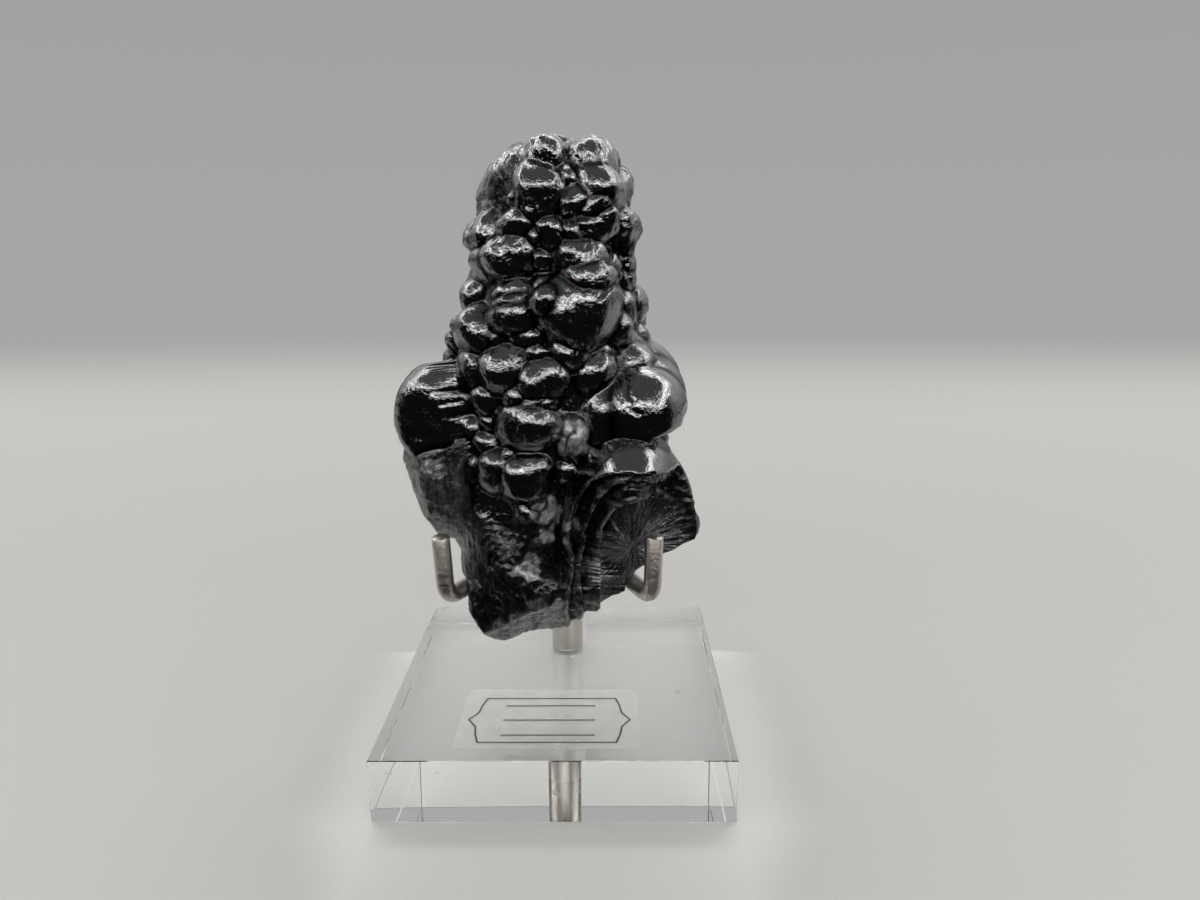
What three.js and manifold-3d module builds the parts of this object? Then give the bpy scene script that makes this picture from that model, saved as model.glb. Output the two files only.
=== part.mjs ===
// A tall specimen of botryoidal hematite resting in a small display stand.
// Units are millimetres. X points right, Y away from the viewer, Z up.
// The origin is the middle of the base block's underside.

import * as THREE from 'three';
import { mergeVertices } from 'three/addons/utils/BufferGeometryUtils.js';
import Module from 'manifold-3d';

const wasm = await Module();
wasm.setup();

// ---------------------------------------------------------------- driving sizes

const GAP = 0.3; // clearance between pieces that meet

const BLOCK = 63.5; // side of the square base block
const BLOCK_HIGH = 12;
const EDGE = 0.4; // polished chamfer along the block's edges

const POST_R = 3.45;
const POST_X = 0.4;
const POST_Y = 19.8; // the post stands near the block's rear edge
const POST_FOOT = 1.5; // material left under the post's hole
const POST_TOP = 42;

const ROD_R = 1.59;
const ARM_Z = 36.1; // height of the level arms
const LEFT_HOOK = [-19.25, -18.4]; // x, y where the left arm turns up
const RIGHT_HOOK = [17.45, -18.4];
const LEFT_TIP_OUT = 0.9; // how far each upright leans outwards
const RIGHT_TIP_OUT = 0.7;
const LEFT_SLOPE = 0.8; // how steeply the stone rises outwards over each arm
const RIGHT_SLOPE = 0.65;
const HOOK_TOP = 48;
const HOOK_BEND = 3.4; // radius of the bend under each upright
const APEX_BEND = 4.0; // radius of the bend inside the post

const BACK_ROD_FOOT = 39.5;
const BACK_ROD_KNEE = 44;
const BACK_ROD_TOP = 70;
const BACK_ROD_BEND = 3;
const BACK_ROD_LEAN = 5.2; // how far the top leans towards the stone

const LABEL_X = -1.3;
const LABEL_Y = -18.0;
const LABEL_WIDE = 33;
const LABEL_DEEP = 20.5;
const LABEL_THICK = 0.25;

// ---------------------------------------------------------------- the stone's form

// Body outline at every ROW_STEP from ROW_LOW upwards: left, right, front, back.
const ROW_LOW = 24;
const ROW_STEP = 6;
const ROWS = [
  [-15.5, 0, -17, -7],
  [-16.5, 8, -18.5, -5],
  [-17.3, 13.5, -19, -2],
  [-18.3, 17, -18, 8],
  [-20, 19, -17, 12],
  [-21, 20, -16.5, 13],
  [-21, 21, -16.5, 13],
  [-20, 21.5, -16.5, 13.5],
  [-19.5, 21.5, -16.5, 14],
  [-19, 18.5, -16, 14],
  [-17.5, 14.5, -15.5, 13.5],
  [-15.5, 13.5, -15, 13],
  [-14, 13, -15, 12],
  [-13.3, 13.2, -15, 11],
  [-12.2, 12.8, -14, 9.5],
  [-8.6, 9.8, -11.5, 6.5],
];
const BODY_TOP = 114.7;
const SQUARENESS = 2.6; // exponent of the body's rounded-square sections

// Front lumps, rounded above and dropping straight below: x and z of the brow, radius,
// width as a share of the radius, how far each stands proud of the body, and its drop.
const LUMPS = [
  // head
  [-0.4, 114, 4.2, 1, 2.2, 0], [-1.6, 108.9, 4.4, 1.1, 3, 3], [2.6, 109.4, 2.4, 1, 1.4, 0],
  [4.2, 106.2, 3.2, 1, 2.2, 1.4], [7, 113.2, 4.4, 1.1, 1.5, 0], [7.2, 108.9, 5.4, 1, 2.4, 0],
  [7.4, 105.4, 3.4, 1, 2.9, 0], [7.5, 103, 3.2, 1.4, 2.9, 0.8], [10.8, 102.7, 4.4, 1, 1.5, 2],
  [-5.8, 105.6, 1.5, 1.1, 0.7, 0], [-9.8, 102, 4.2, 1, 0.4, 4], [-4.7, 102.2, 2.7, 1.5, 2, 0.2],
  [-2, 99.5, 1.7, 1.2, 1.7, 0], [0.6, 101.2, 2.5, 1.2, 2.3, 1.4], [4, 101, 1.9, 1.2, 2.2, 0],
  [4.4, 102.5, 1.6, 1.2, 1.6, 0], [4.5, 98, 4.9, 1.2, 3.3, 0], [-6.4, 98.2, 3.9, 1.35, 3, 0.6],
  [-1.4, 96, 1.8, 1.2, 1.9, 0], [11, 98.5, 2.6, 1.4, 1.4, 0], [9.4, 95.6, 2.8, 1, 2.4, 1],
  [11.4, 94, 3.4, 1, 1.6, 0], [-10.6, 96.6, 3.4, 1, 1.2, 1],
  // neck
  [5.6, 94.3, 5.2, 1.08, 5, 0], [4.3, 91.2, 7.4, 1.1, 6, 0], [0.2, 90, 2.8, 1.2, 5.2, 0.6],
  [-0.4, 92, 3.6, 1, 2.4, 1], [11, 85, 3.6, 1, 2.4, 0], [-13.2, 91, 3.2, 1, 1.6, 0],
  [-12, 86, 4.9, 1, 2.9, 0], [-6.6, 91, 2.5, 1.4, 2.4, 0], [-6.3, 89.4, 2.5, 1.45, 2.9, 0],
  [-6, 87.8, 3.5, 1.3, 3.5, 0.2], [-14.8, 88.9, 1.8, 1, 0.9, 0], [-4.3, 83.3, 1.9, 1.6, 2.3, 0],
  [-2.4, 80.4, 1.8, 1.4, 2.1, 0], [2.6, 81.4, 3, 1.3, 2.6, 0], [12.4, 90, 4.2, 1, 1.4, 1],
  [-8.8, 84, 2.4, 1.2, 1.8, 0],
  // waist
  [-13, 78.7, 4.6, 1, 2.6, 0], [-7.9, 80, 5, 1.05, 3.4, 0], [-10.7, 73.8, 3.6, 1, 2.5, 0],
  [-1.3, 77.4, 4.3, 1.2, 3.6, 0], [-5.4, 73.7, 2.7, 1.1, 2.6, 0], [-2.2, 72.3, 1.9, 2.1, 2.7, 0],
  [-4.1, 70.4, 5.2, 1.2, 4.3, 0], [-10.4, 69.1, 1.8, 1.4, 1.8, 0], [-8.7, 70.4, 1.7, 1.2, 1.8, 0],
  [-13.4, 67.4, 2.4, 1.1, 1.2, 0], [3.4, 68.2, 4, 0.9, 2.2, 2.6], [2.6, 60.4, 2.2, 1, 1.6, 0.6],
  [6.4, 78.8, 4.5, 1, 1.6, 0], [-14.8, 73, 3, 1, 1.4, 0.4], [-11.6, 65.4, 2.4, 1.2, 1.4, 0.4],
  // hips
  [-9.6, 62.2, 3.4, 1.2, 2.8, 2.2], [-7.4, 63.4, 1.8, 1, 2, 0], [-4.6, 61.2, 3.4, 1.4, 3.4, 2.8],
  [-14.4, 60.6, 3.4, 1.1, 1.2, 1], [-3.4, 54.6, 1.9, 1.1, 1.3, 0], [-5, 52.4, 2, 1.2, 1.1, 0],
];
const BROW = 0.6; // height of the brow over the lump's centre, as a share of its radius
const DROP_LEAN = 0.1;
const DROP_TAPER = 0.1;
const LUMP_BLEND = 0.7; // width over which neighbours run together

// Lumps on the sides and on top: centre x, y, z and radius.
const SIDE_LUMPS = [
  [12.9, -6, 99.6, 2.5], [11.4, -8, 94.6, 3.6], [10.6, -8, 86.4, 4.6], [12.2, 0, 84, 4.4],
  [-15.8, -9, 83.8, 2.2], [-16.6, -8, 80.6, 2.4], [-17, -6, 77.2, 3], [-12.6, -6, 99.4, 3.2],
  [10.2, -3, 107, 4.4], [-4.4, -5.6, 112.4, 2.7], [0.3, -6.4, 113.1, 2.8], [6.4, -6, 112.3, 2.8],
  [8.4, -4.4, 111.9, 3.3], [2.8, 0.4, 112.2, 3], [-3.4, 1.2, 111.8, 3.2],
];

// Lumps on both flanks, set out round the body by the golden angle.
const FLANK_COUNT = 110;
const FLANK_LOW = 42;
const FLANK_HIGH = 104;
const FLANK_PROUD = 0.13; // share of the radius that stands proud

// Large lumps: centre x, y, z and half-widths. The lobe has a rounder brow and a side tip.
const FLANGE = [-22, -9.6, 68, 6.3, 8, 8.8];
const FLANGE_SQUARENESS = 2.2;
const FLANGE_LOW = [-19.6, -8.6, 57, 8.6, 7.4, 13];
const LOBE = [12.8, -10.6, 49.5, 12.6, 12, 15.2];
const LOBE_BROW = [13.4, -14.6, 55.8, 8.4, 11.4, 10.2];
const LOBE_TIP = [20.3, -7.5, 46, 6, 7.5, 6.5];
const DOME = [15, -10.5, 68.1, 9.1, 9.1, 9.1];
// Broken shells round the dome: shifts left, back and up, and how much larger each is.
const DOME_SHELLS = [[3.4, 1.8, -0.6, 0.6], [0.6, 4.6, 1.6, 0.6], [1.4, 7.4, 3, 0.9]];

// The lobe's skin is broken away in arches, each deeper: half-width, height, depth.
const ARCH_X = 14.1;
const ARCH_Z = 43.8;
const ARCHES = [[11.6, 17.4, 2.4], [9.2, 14.6, 4.8], [6.1, 11, 8.4]];
const ARCH_RIGHT = 1.7; // how much wider each arch is on its right side
const ARCH_BACK = -11.5; // nothing is broken out behind this depth

// Broken faces, each a point and the direction it faces.
const FRONT_BREAK = [[-12, -17.6, 42], [-0.22, -0.97, -0.05]];
const RIDGE_BREAK = [[-5, -18.4, 49], [0.62, -0.78, -0.2]];
const RIDGE_FOOT = [[-4, -16, 42], [0.3, -0.5, 0.8]];
const SHOULDER = [[-7.9, -11.4, 107], [-0.34, -0.92, 0.16]];
const FLANGE_FACE = [[-22.5, -15.4, 68], [-0.16, -0.98, -0.06]];
const FLANGE_FOOT = [[-22, -14, 61.4], [0, -0.12, -1]];
const FLANGE_BREAKS = [
  [[-27, -9, 58], [-0.93, -0.1, -0.34]],
  [[-18, -16.2, 54], [-0.25, -0.96, -0.1]],
  [[-24.4, -13, 54], [-0.76, -0.64, -0.1]],
];
const TIP_BREAK = [[20, -8, 42.6], [0.1, -0.05, -1]];
const DOME_BREAK = [[23.4, -12, 68], [0.93, -0.22, -0.3]];
const DOME_FOOT = [[18, -15, 65.2], [0.35, 0, -0.94]];
const BREAKS = [
  // underside
  [[-8, -17.5, 31], [0.22, -0.7, -0.67]],
  [[-6, -12, 26.2], [0.09, 0.12, -0.99]],
  [[-4, -8, 27], [0.15, 0.72, -0.68]],
  [[-12.6, -15, 28.5], [-0.72, 0, -0.69]],
  [[7, -14, 31], [0.5, 0.15, -0.84]],
  // back
  [[0.4, 14.2, 62], [0.02, 0.98, 0.2]],
  [[-14, 11, 66], [-0.5, 0.86, 0.1]],
  [[15, 11, 60], [0.52, 0.85, -0.08]],
  [[0, 11.5, 46], [0.05, 0.72, -0.69]],
];

// Mesh of the stone: columns round it and rows from its foot to its top.
const COLUMNS = 72;
const STONE_ROWS = 50;
const FRONT_BIAS = 0.35; // crowds the columns towards the front
const SPINE_LOW = 31;
const SPINE_HIGH = 106;
const FAN_SHARE = 0.13; // share of the rows that fan out at each end
const RAY_START = 46; // rays start this far out and run inwards

const BAR_STEP = 1.6;
const BAR_SIDES = 10;

// ---------------------------------------------------------------- small helpers

const clamp = (t, low, high) => Math.min(Math.max(t, low), high);

function softMin(a, b, k) {
  const h = Math.max(k - Math.abs(a - b), 0) / k;
  return Math.min(a, b) - (h * h * k) / 4;
}

const softMax = (a, b, k) => -softMin(-a, -b, k);

/** Distance to an ellipsoid given by its centre and half-widths; a higher power is squarer. */
function ellipsoid(p, row, power = 2) {
  const [rx, ry, rz] = row.slice(3);
  const q = [rx, ry, rz].map((r, k) => Math.abs(p[k] - row[k]) / r);
  const near = q.reduce((sum, value) => sum + value ** power, 0) ** (1 / power) + 1e-9;
  const [sx, sy, sz] = q.map((value) => (value / near) ** (power - 1));
  return (near - 1) / (Math.hypot(sx / rx, sy / ry, sz / rz) + 1e-9);
}

/** Height of p above a face given by a point and its outward direction. */
function above(p, [at, facing]) {
  const length = Math.hypot(...facing);
  const dot = facing.reduce((sum, n, k) => sum + n * (p[k] - at[k]), 0);
  return dot / length;
}

// ---------------------------------------------------------------- distance to the stone

/** Left, right, front and back of the body at height z (Catmull-Rom between rows). */
function section(z) {
  const t = clamp((z - ROW_LOW) / ROW_STEP, 0, ROWS.length - 1.001);
  const i = Math.floor(t);
  const f = t - i;
  const row = (k) => ROWS[clamp(i + k, 0, ROWS.length - 1)];
  const [a, b, c, d] = [row(-1), row(0), row(1), row(2)];
  return b.map((_, k) => {
    const square = 2 * a[k] - 5 * b[k] + 4 * c[k] - d[k];
    const cube = 3 * b[k] - a[k] - 3 * c[k] + d[k];
    return (2 * b[k] + (c[k] - a[k]) * f + square * f * f + cube * f ** 3) / 2;
  });
}

/** Distance to the plain body: rounded-square sections under a gently domed top. */
function body([x, y, z]) {
  const [left, right, front, back] = section(z);
  const halfX = (right - left) / 2;
  const halfY = (back - front) / 2;
  const u = Math.abs(x - (left + right) / 2) / halfX;
  const v = Math.abs(y - (front + back) / 2) / halfY;
  const round = (u ** SQUARENESS + v ** SQUARENESS + 1e-12) ** (1 / SQUARENESS);
  const side = (round - 1) * Math.min(halfX, halfY);
  return softMax(side, z - BODY_TOP + 0.004 * (y + 4) ** 2, 5);
}

/** Walks from a start point along a level direction to the body's skin. */
function walkToBody(start, direction) {
  const p = [...start];
  for (let k = 0; k < 60; k++) {
    const d = body(p) * 0.9;
    p[0] += direction[0] * d;
    p[1] += direction[1] * d;
  }
  return p;
}

function frontLumps() {
  return LUMPS.map(([x, browZ, r, wide, proud, drop]) => {
    const z = browZ - BROW * r;
    const skin = walkToBody([x, -40, z], [0, 1]);
    return [x, skin[1] - proud + r, z, r, wide, drop];
  });
}

function flankLumps() {
  const golden = Math.PI * (3 - Math.sqrt(5));
  const lumps = [];
  for (let k = 0; k < FLANK_COUNT; k++) {
    const turn = (k * golden) % (2 * Math.PI);
    const toFront = -Math.sin(turn);
    if (toFront > 0.5 || toFront < -0.8) continue;
    const z = FLANK_LOW + ((FLANK_HIGH - FLANK_LOW) * (k + 0.5)) / FLANK_COUNT;
    const r = 4 + 1.3 * Math.sin(12.9 * k);
    const out = [Math.cos(turn), Math.sin(turn)];
    const [left, right, front, back] = section(z);
    const start = [(left + right) / 2 + 40 * out[0], (front + back) / 2 + 40 * out[1], z];
    const skin = walkToBody(start, [-out[0], -out[1]]);
    const sunk = r * (1 - FLANK_PROUD);
    lumps.push([skin[0] - out[0] * sunk, skin[1] - out[1] * sunk, z, r, 1, 0]);
  }
  return lumps;
}

const SIDES = SIDE_LUMPS.map((row) => [...row, 1, 0]);
const ALL_LUMPS = [...frontLumps(), ...SIDES, ...flankLumps()];

function lumps([x, y, z]) {
  let best = Infinity;
  for (const [cx, cy, cz, r, wide, drop] of ALL_LUMPS) {
    const below = clamp(cz - z, 0, drop);
    const across = (x - cx) / wide;
    const out = Math.sqrt(across ** 2 + (y - cy - DROP_LEAN * below) ** 2 + (z - cz + below) ** 2);
    best = Math.min(best, out - r + DROP_TAPER * below);
  }
  return best;
}

/** The lobe before it broke: a tall swelling with a rounder brow in front of its top. */
function lobeSkin(p) {
  return softMin(ellipsoid(p, LOBE), ellipsoid(p, LOBE_BROW), 2);
}

/** Distance to the space broken out of the lobe: nested arches, each to a deeper shell. */
function brokenFront(p) {
  const lobe = lobeSkin([p[0], p[1], Math.max(p[2], ARCH_Z)]);
  const side = p[0] - ARCH_X;
  const dx = side > 0 ? side / ARCH_RIGHT : side;
  const dz = p[2] - ARCH_Z;
  const turn = Math.atan2(dz, dx);
  let space = Infinity;
  ARCHES.forEach(([half, high, depth], k) => {
    const wave = 0.035 * Math.sin(3 * turn + 1 + 2.1 * k) + 0.02 * Math.sin(7 * turn + 1.7 * k);
    const out = Math.hypot(dx / half, Math.max(dz, 0) / high) - 1 - wave;
    space = Math.min(space, Math.max(out * half, -(lobe + depth)));
  });
  return Math.max(space, p[1] - ARCH_BACK);
}

/** The dome beside the waist, with broken shells stepping back round it. */
function dome(p) {
  const [x, y, z, ...size] = DOME;
  const shells = DOME_SHELLS.map(([left, back, up, more]) => {
    return ellipsoid(p, [x - left, y + back, z + up, ...size.map((r) => r + more)]);
  });
  return softMax(Math.min(ellipsoid(p, DOME), ...shells), above(p, DOME_FOOT), 0.8);
}

/** The left flange: a round lump over a broken, tapering lower part. */
function flange(p) {
  const whole = softMax(ellipsoid(p, FLANGE, FLANGE_SQUARENESS), above(p, FLANGE_FACE), 1.6);
  const disc = softMax(whole, above(p, FLANGE_FOOT), 0.8);
  const low = Math.max(ellipsoid(p, FLANGE_LOW), ...FLANGE_BREAKS.map((face) => above(p, face)));
  return [disc, low];
}

/** Distance to the lane that an arm needs: its inner wall and the slope it carries. */
function armLane(p, hook, slope) {
  const along = [hook[0] - POST_X, hook[1] - POST_Y];
  const length = Math.hypot(...along);
  const side = Math.sign(hook[0]);
  const outward = [(-along[1] / length) * side, (along[0] / length) * side];
  const s = (p[0] - hook[0]) * outward[0] + (p[1] - hook[1]) * outward[1];
  const room = ROD_R + GAP;
  const tilt = Math.hypot(1, slope);
  const under = (p[2] - ARM_Z - room * tilt - slope * s) / tilt;
  return Math.max(-(s + room), under);
}

/** Slow wave that bends every face of the stone a little. */
function bend([x, y, z]) {
  const size = 0.35;
  const wave = (a, b) => size * (Math.sin(a) + 0.4 * Math.sin(b));
  return [
    x + wave(0.31 * y + 0.43 * z + 1, 0.83 * z - 0.31 * y),
    y + wave(0.37 * z + 0.39 * x + 2, 0.81 * x + 0.23 * z + 0.5),
    z + wave(0.43 * x + 0.27 * y + 4, 0.47 * y - 0.73 * x + 1.5),
  ];
}

/** Signed distance to the whole stone, negative inside. */
function stone(at) {
  const p = bend(at);
  const [disc, low] = flange(p);
  const tip = Math.max(ellipsoid(p, LOBE_TIP), above(p, TIP_BREAK));
  let d = softMax(body(p), above(p, FRONT_BREAK), 0.4);
  d = softMax(d, Math.min(above(p, RIDGE_BREAK), above(p, RIDGE_FOOT)), 0.4);
  d = softMax(d, above(p, SHOULDER), 1.5);
  d = softMin(d, low, 0.6);
  d = softMin(d, disc, 0.5);
  d = softMin(d, lumps(p), LUMP_BLEND);
  d = softMin(d, Math.min(lobeSkin(at), tip), 0.4);
  d = Math.max(d, -brokenFront(at));
  d = softMin(d, Math.max(dome(at), above(p, DOME_BREAK)), 0.3);
  for (const face of BREAKS) d = Math.max(d, above(p, face));
  d = Math.max(d, -armLane(at, LEFT_HOOK, LEFT_SLOPE));
  return Math.max(d, -armLane(at, RIGHT_HOOK, RIGHT_SLOPE));
}

// ---------------------------------------------------------------- meshes and solids

/** Origin and direction of the ray for column u and row v, both from 0 to 1. */
function stoneRay(u, v) {
  const fan = FAN_SHARE;
  const low = clamp((fan - v) / fan, 0, 1);
  const high = clamp((v - 1 + fan) / fan, 0, 1);
  const lift = (Math.PI / 2) * (high - low);
  const z = SPINE_LOW + (SPINE_HIGH - SPINE_LOW) * clamp((v - fan) / (1 - 2 * fan), 0, 1);
  const turn = 2 * Math.PI * u + FRONT_BIAS * Math.sin(2 * Math.PI * u);
  const facing = turn - Math.PI / 2;
  const [left, right, front, back] = section(z);
  const origin = [(left + right) / 2, (front + back) / 2, z];
  const level = Math.cos(lift);
  return [origin, [level * Math.cos(facing + Math.PI), level * Math.sin(facing + Math.PI), Math.sin(lift)]];
}

/** First point of the stone met on the way in along a ray. */
function hitStone([origin, direction]) {
  let t = RAY_START;
  const at = () => origin.map((o, k) => o + direction[k] * t);
  for (let k = 0; k < 160; k++) {
    const d = stone(at());
    if (Math.abs(d) < 0.01) break;
    t -= d * 0.7;
  }
  return at();
}

/** Two triangles for the square above points a and b, split along its shorter diagonal. */
function twoFaces(points, a, b) {
  const [c, d] = [b + COLUMNS, a + COLUMNS];
  const apart = (i, j) => Math.hypot(...[0, 1, 2].map((k) => points[3 * i + k] - points[3 * j + k]));
  return apart(a, c) < apart(b, d) ? [a, b, c, a, c, d] : [a, b, d, b, c, d];
}

function stoneGeometry() {
  const points = [];
  for (let j = 1; j < STONE_ROWS; j++) {
    for (let i = 0; i < COLUMNS; i++) points.push(...hitStone(stoneRay(i / COLUMNS, j / STONE_ROWS)));
  }
  const foot = points.length / 3;
  points.push(...hitStone(stoneRay(0, 0)), ...hitStone(stoneRay(0, 1)));
  const faces = [];
  for (let i = 0; i < COLUMNS; i++) {
    const next = (i + 1) % COLUMNS;
    faces.push(foot, next, i);
    const last = (STONE_ROWS - 2) * COLUMNS;
    faces.push(foot + 1, last + i, last + next);
    for (let j = 0; j < STONE_ROWS - 2; j++) {
      faces.push(...twoFaces(points, j * COLUMNS + i, j * COLUMNS + next));
    }
  }
  const geometry = new THREE.BufferGeometry();
  geometry.setAttribute('position', new THREE.Float32BufferAttribute(points, 3));
  geometry.setIndex(faces);
  return geometry;
}

function toSolid(geometry) {
  const bare = geometry.clone();
  bare.deleteAttribute('normal');
  bare.deleteAttribute('uv');
  const merged = mergeVertices(bare, 1e-4);
  const triVerts = new Uint32Array(merged.index.array);
  const vertProperties = new Float32Array(merged.attributes.position.array);
  return new wasm.Manifold(new wasm.Mesh({ numProp: 3, vertProperties, triVerts }));
}

function toGeometry(solid) {
  const { vertProperties, triVerts } = solid.getMesh();
  const geometry = new THREE.BufferGeometry();
  geometry.setAttribute('position', new THREE.BufferAttribute(vertProperties, 3));
  geometry.setIndex(new THREE.BufferAttribute(triVerts, 1));
  geometry.computeVertexNormals();
  return geometry;
}

function piece(name, geometry, color, roughness, metalness) {
  const look = new THREE.MeshStandardMaterial({ color, roughness, metalness });
  const mesh = new THREE.Mesh(geometry, look);
  mesh.name = name;
  return mesh;
}

/** Round bar of radius r along a path, its section a regular polygon. */
function bar(path, r, steps, sides) {
  const outline = new THREE.Shape();
  for (let k = 0; k < sides; k++) {
    const turn = (2 * Math.PI * k) / sides;
    const [x, y] = [r * Math.cos(turn), r * Math.sin(turn)];
    if (k === 0) outline.moveTo(x, y);
    else outline.lineTo(x, y);
  }
  outline.closePath();
  return new THREE.ExtrudeGeometry(outline, { steps, extrudePath: path, bevelEnabled: false });
}

/** Upright cylinder from z = low to z = high. */
function upright(x, y, low, high, r, sides = 28) {
  const geometry = new THREE.CylinderGeometry(r, r, high - low, sides);
  geometry.rotateX(Math.PI / 2);
  geometry.translate(x, y, (low + high) / 2);
  return geometry;
}

// ---------------------------------------------------------------- the stand

/** Corner points of the rod that forms both arms, from the left tip to the right tip. */
function cradleCorners() {
  const tip = (hook, lean) => {
    const along = new THREE.Vector2(hook[0] - POST_X, hook[1] - POST_Y).normalize();
    return new THREE.Vector3(hook[0] + along.x * lean, hook[1] + along.y * lean, HOOK_TOP);
  };
  const elbow = (hook) => new THREE.Vector3(hook[0], hook[1], ARM_Z);
  return [
    tip(LEFT_HOOK, LEFT_TIP_OUT),
    elbow(LEFT_HOOK),
    new THREE.Vector3(POST_X, POST_Y, ARM_Z),
    elbow(RIGHT_HOOK),
    tip(RIGHT_HOOK, RIGHT_TIP_OUT),
  ];
}

/** Path through corner points with each corner rounded by a bend of the given length. */
function roundedPath(corners, cuts, bendSteps) {
  const points = [corners[0]];
  for (let k = 1; k < corners.length - 1; k++) {
    const [before, here, after] = [corners[k - 1], corners[k], corners[k + 1]];
    const start = here.clone().add(before.clone().sub(here).setLength(cuts[k - 1]));
    const end = here.clone().add(after.clone().sub(here).setLength(cuts[k - 1]));
    const curve = new THREE.QuadraticBezierCurve3(start, here, end);
    points.push(...curve.getPoints(bendSteps));
  }
  points.push(corners[corners.length - 1]);
  return points;
}

/** Closed round bar through a list of points, with a ring of vertices every BAR_STEP. */
function barThrough(points, r) {
  const path = new THREE.CurvePath();
  for (let k = 1; k < points.length; k++) path.add(new THREE.LineCurve3(points[k - 1], points[k]));
  return bar(path, r, Math.round(path.getLength() / BAR_STEP), BAR_SIDES);
}

function cradlePoints() {
  return roundedPath(cradleCorners(), [HOOK_BEND, APEX_BEND, HOOK_BEND], 6);
}

function backRodPoints() {
  const x = POST_X;
  const corners = [
    new THREE.Vector3(x, POST_Y, BACK_ROD_FOOT),
    new THREE.Vector3(x, POST_Y, BACK_ROD_KNEE),
    new THREE.Vector3(x, POST_Y - BACK_ROD_LEAN, BACK_ROD_TOP),
  ];
  return roundedPath(corners, [BACK_ROD_BEND], 4);
}

function blockGeometry() {
  const half = BLOCK / 2 - EDGE;
  const outline = new THREE.Shape();
  outline.moveTo(-half, -half);
  outline.lineTo(half, -half);
  outline.lineTo(half, half);
  outline.lineTo(-half, half);
  outline.closePath();
  const geometry = new THREE.ExtrudeGeometry(outline, {
    depth: BLOCK_HIGH - 2 * EDGE,
    bevelThickness: EDGE,
    bevelSize: EDGE,
    bevelSegments: 1,
  });
  geometry.translate(0, 0, EDGE);
  return geometry;
}

const cradleRoom = toSolid(barThrough(cradlePoints(), ROD_R + GAP));
const backRodRoom = toSolid(barThrough(backRodPoints(), ROD_R + GAP));
const backRodHole = toSolid(upright(POST_X, POST_Y, BACK_ROD_FOOT - GAP, POST_TOP + 1, ROD_R + GAP, 12));

function makeBlock() {
  const hole = upright(POST_X, POST_Y, POST_FOOT, BLOCK_HIGH + 1, POST_R + GAP);
  const solid = toSolid(blockGeometry()).subtract(toSolid(hole));
  return piece('base_block', toGeometry(solid), 0xe9edee, 0.05, 0);
}

function makePost() {
  const bare = upright(POST_X, POST_Y, POST_FOOT + GAP, POST_TOP, POST_R);
  const solid = toSolid(bare).subtract(cradleRoom).subtract(backRodHole);
  return piece('post', toGeometry(solid), 0x8c857c, 0.35, 1);
}

function makeCradle() {
  return piece('cradle_arms', barThrough(cradlePoints(), ROD_R), 0x9a9288, 0.35, 1);
}

function makeBackRod() {
  return piece('back_arm', barThrough(backRodPoints(), ROD_R), 0x9a9288, 0.35, 1);
}

function makeLabel() {
  const geometry = new THREE.BoxGeometry(LABEL_WIDE, LABEL_DEEP, LABEL_THICK);
  geometry.translate(LABEL_X, LABEL_Y, BLOCK_HIGH + LABEL_THICK / 2);
  return piece('label', geometry, 0xe4e6e4, 0.4, 0);
}

function makeStone() {
  const solid = toSolid(stoneGeometry()).subtract(cradleRoom).subtract(backRodRoom);
  return piece('hematite', toGeometry(solid), 0x2b2c2f, 0.2, 1);
}

const specimen = new THREE.Group();
specimen.add(makeStone(), makeBlock(), makePost(), makeCradle(), makeBackRod(), makeLabel());

export default specimen;
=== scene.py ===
"""Botryoidal hematite resting in its display stand of clear acrylic and bent steel rod.

Sizes of the part are millimetres and become metres when a mesh is made; the studio's are metres.
X points right, Y away from the viewer, Z up, from the middle of the block's underside.
"""

import math

import bpy
import numpy as np
from mathutils import Matrix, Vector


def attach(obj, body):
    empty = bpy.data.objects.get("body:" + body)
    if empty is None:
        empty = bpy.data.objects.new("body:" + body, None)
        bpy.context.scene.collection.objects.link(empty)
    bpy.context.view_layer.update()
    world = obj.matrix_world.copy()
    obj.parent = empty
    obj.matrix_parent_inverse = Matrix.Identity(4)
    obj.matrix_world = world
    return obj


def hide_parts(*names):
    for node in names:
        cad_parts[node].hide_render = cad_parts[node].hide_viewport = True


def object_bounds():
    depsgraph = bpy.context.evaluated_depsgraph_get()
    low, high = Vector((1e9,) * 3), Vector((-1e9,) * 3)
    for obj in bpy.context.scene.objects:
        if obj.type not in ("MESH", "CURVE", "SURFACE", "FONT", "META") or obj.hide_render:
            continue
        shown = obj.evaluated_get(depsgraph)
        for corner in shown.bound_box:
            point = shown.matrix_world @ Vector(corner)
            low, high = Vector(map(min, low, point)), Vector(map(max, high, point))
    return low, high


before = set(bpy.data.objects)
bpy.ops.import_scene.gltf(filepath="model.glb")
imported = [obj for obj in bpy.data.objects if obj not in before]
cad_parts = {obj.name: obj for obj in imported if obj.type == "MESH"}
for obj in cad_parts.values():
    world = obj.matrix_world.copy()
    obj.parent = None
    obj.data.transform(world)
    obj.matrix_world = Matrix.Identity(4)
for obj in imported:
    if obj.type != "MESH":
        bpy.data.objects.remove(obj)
cad_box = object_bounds()
MM = 0.001

# -------- camera

CAMERA_AT = (9.34, -163.46, 99.08)
CAMERA_DOWN = math.radians(13.86)
CAMERA_LEFT = math.radians(0.42)
CAMERA_ROLL = math.radians(0.27)
LENS = 26.2
SENSOR = 36.0
CLIP_NEAR = 0.01


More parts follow.
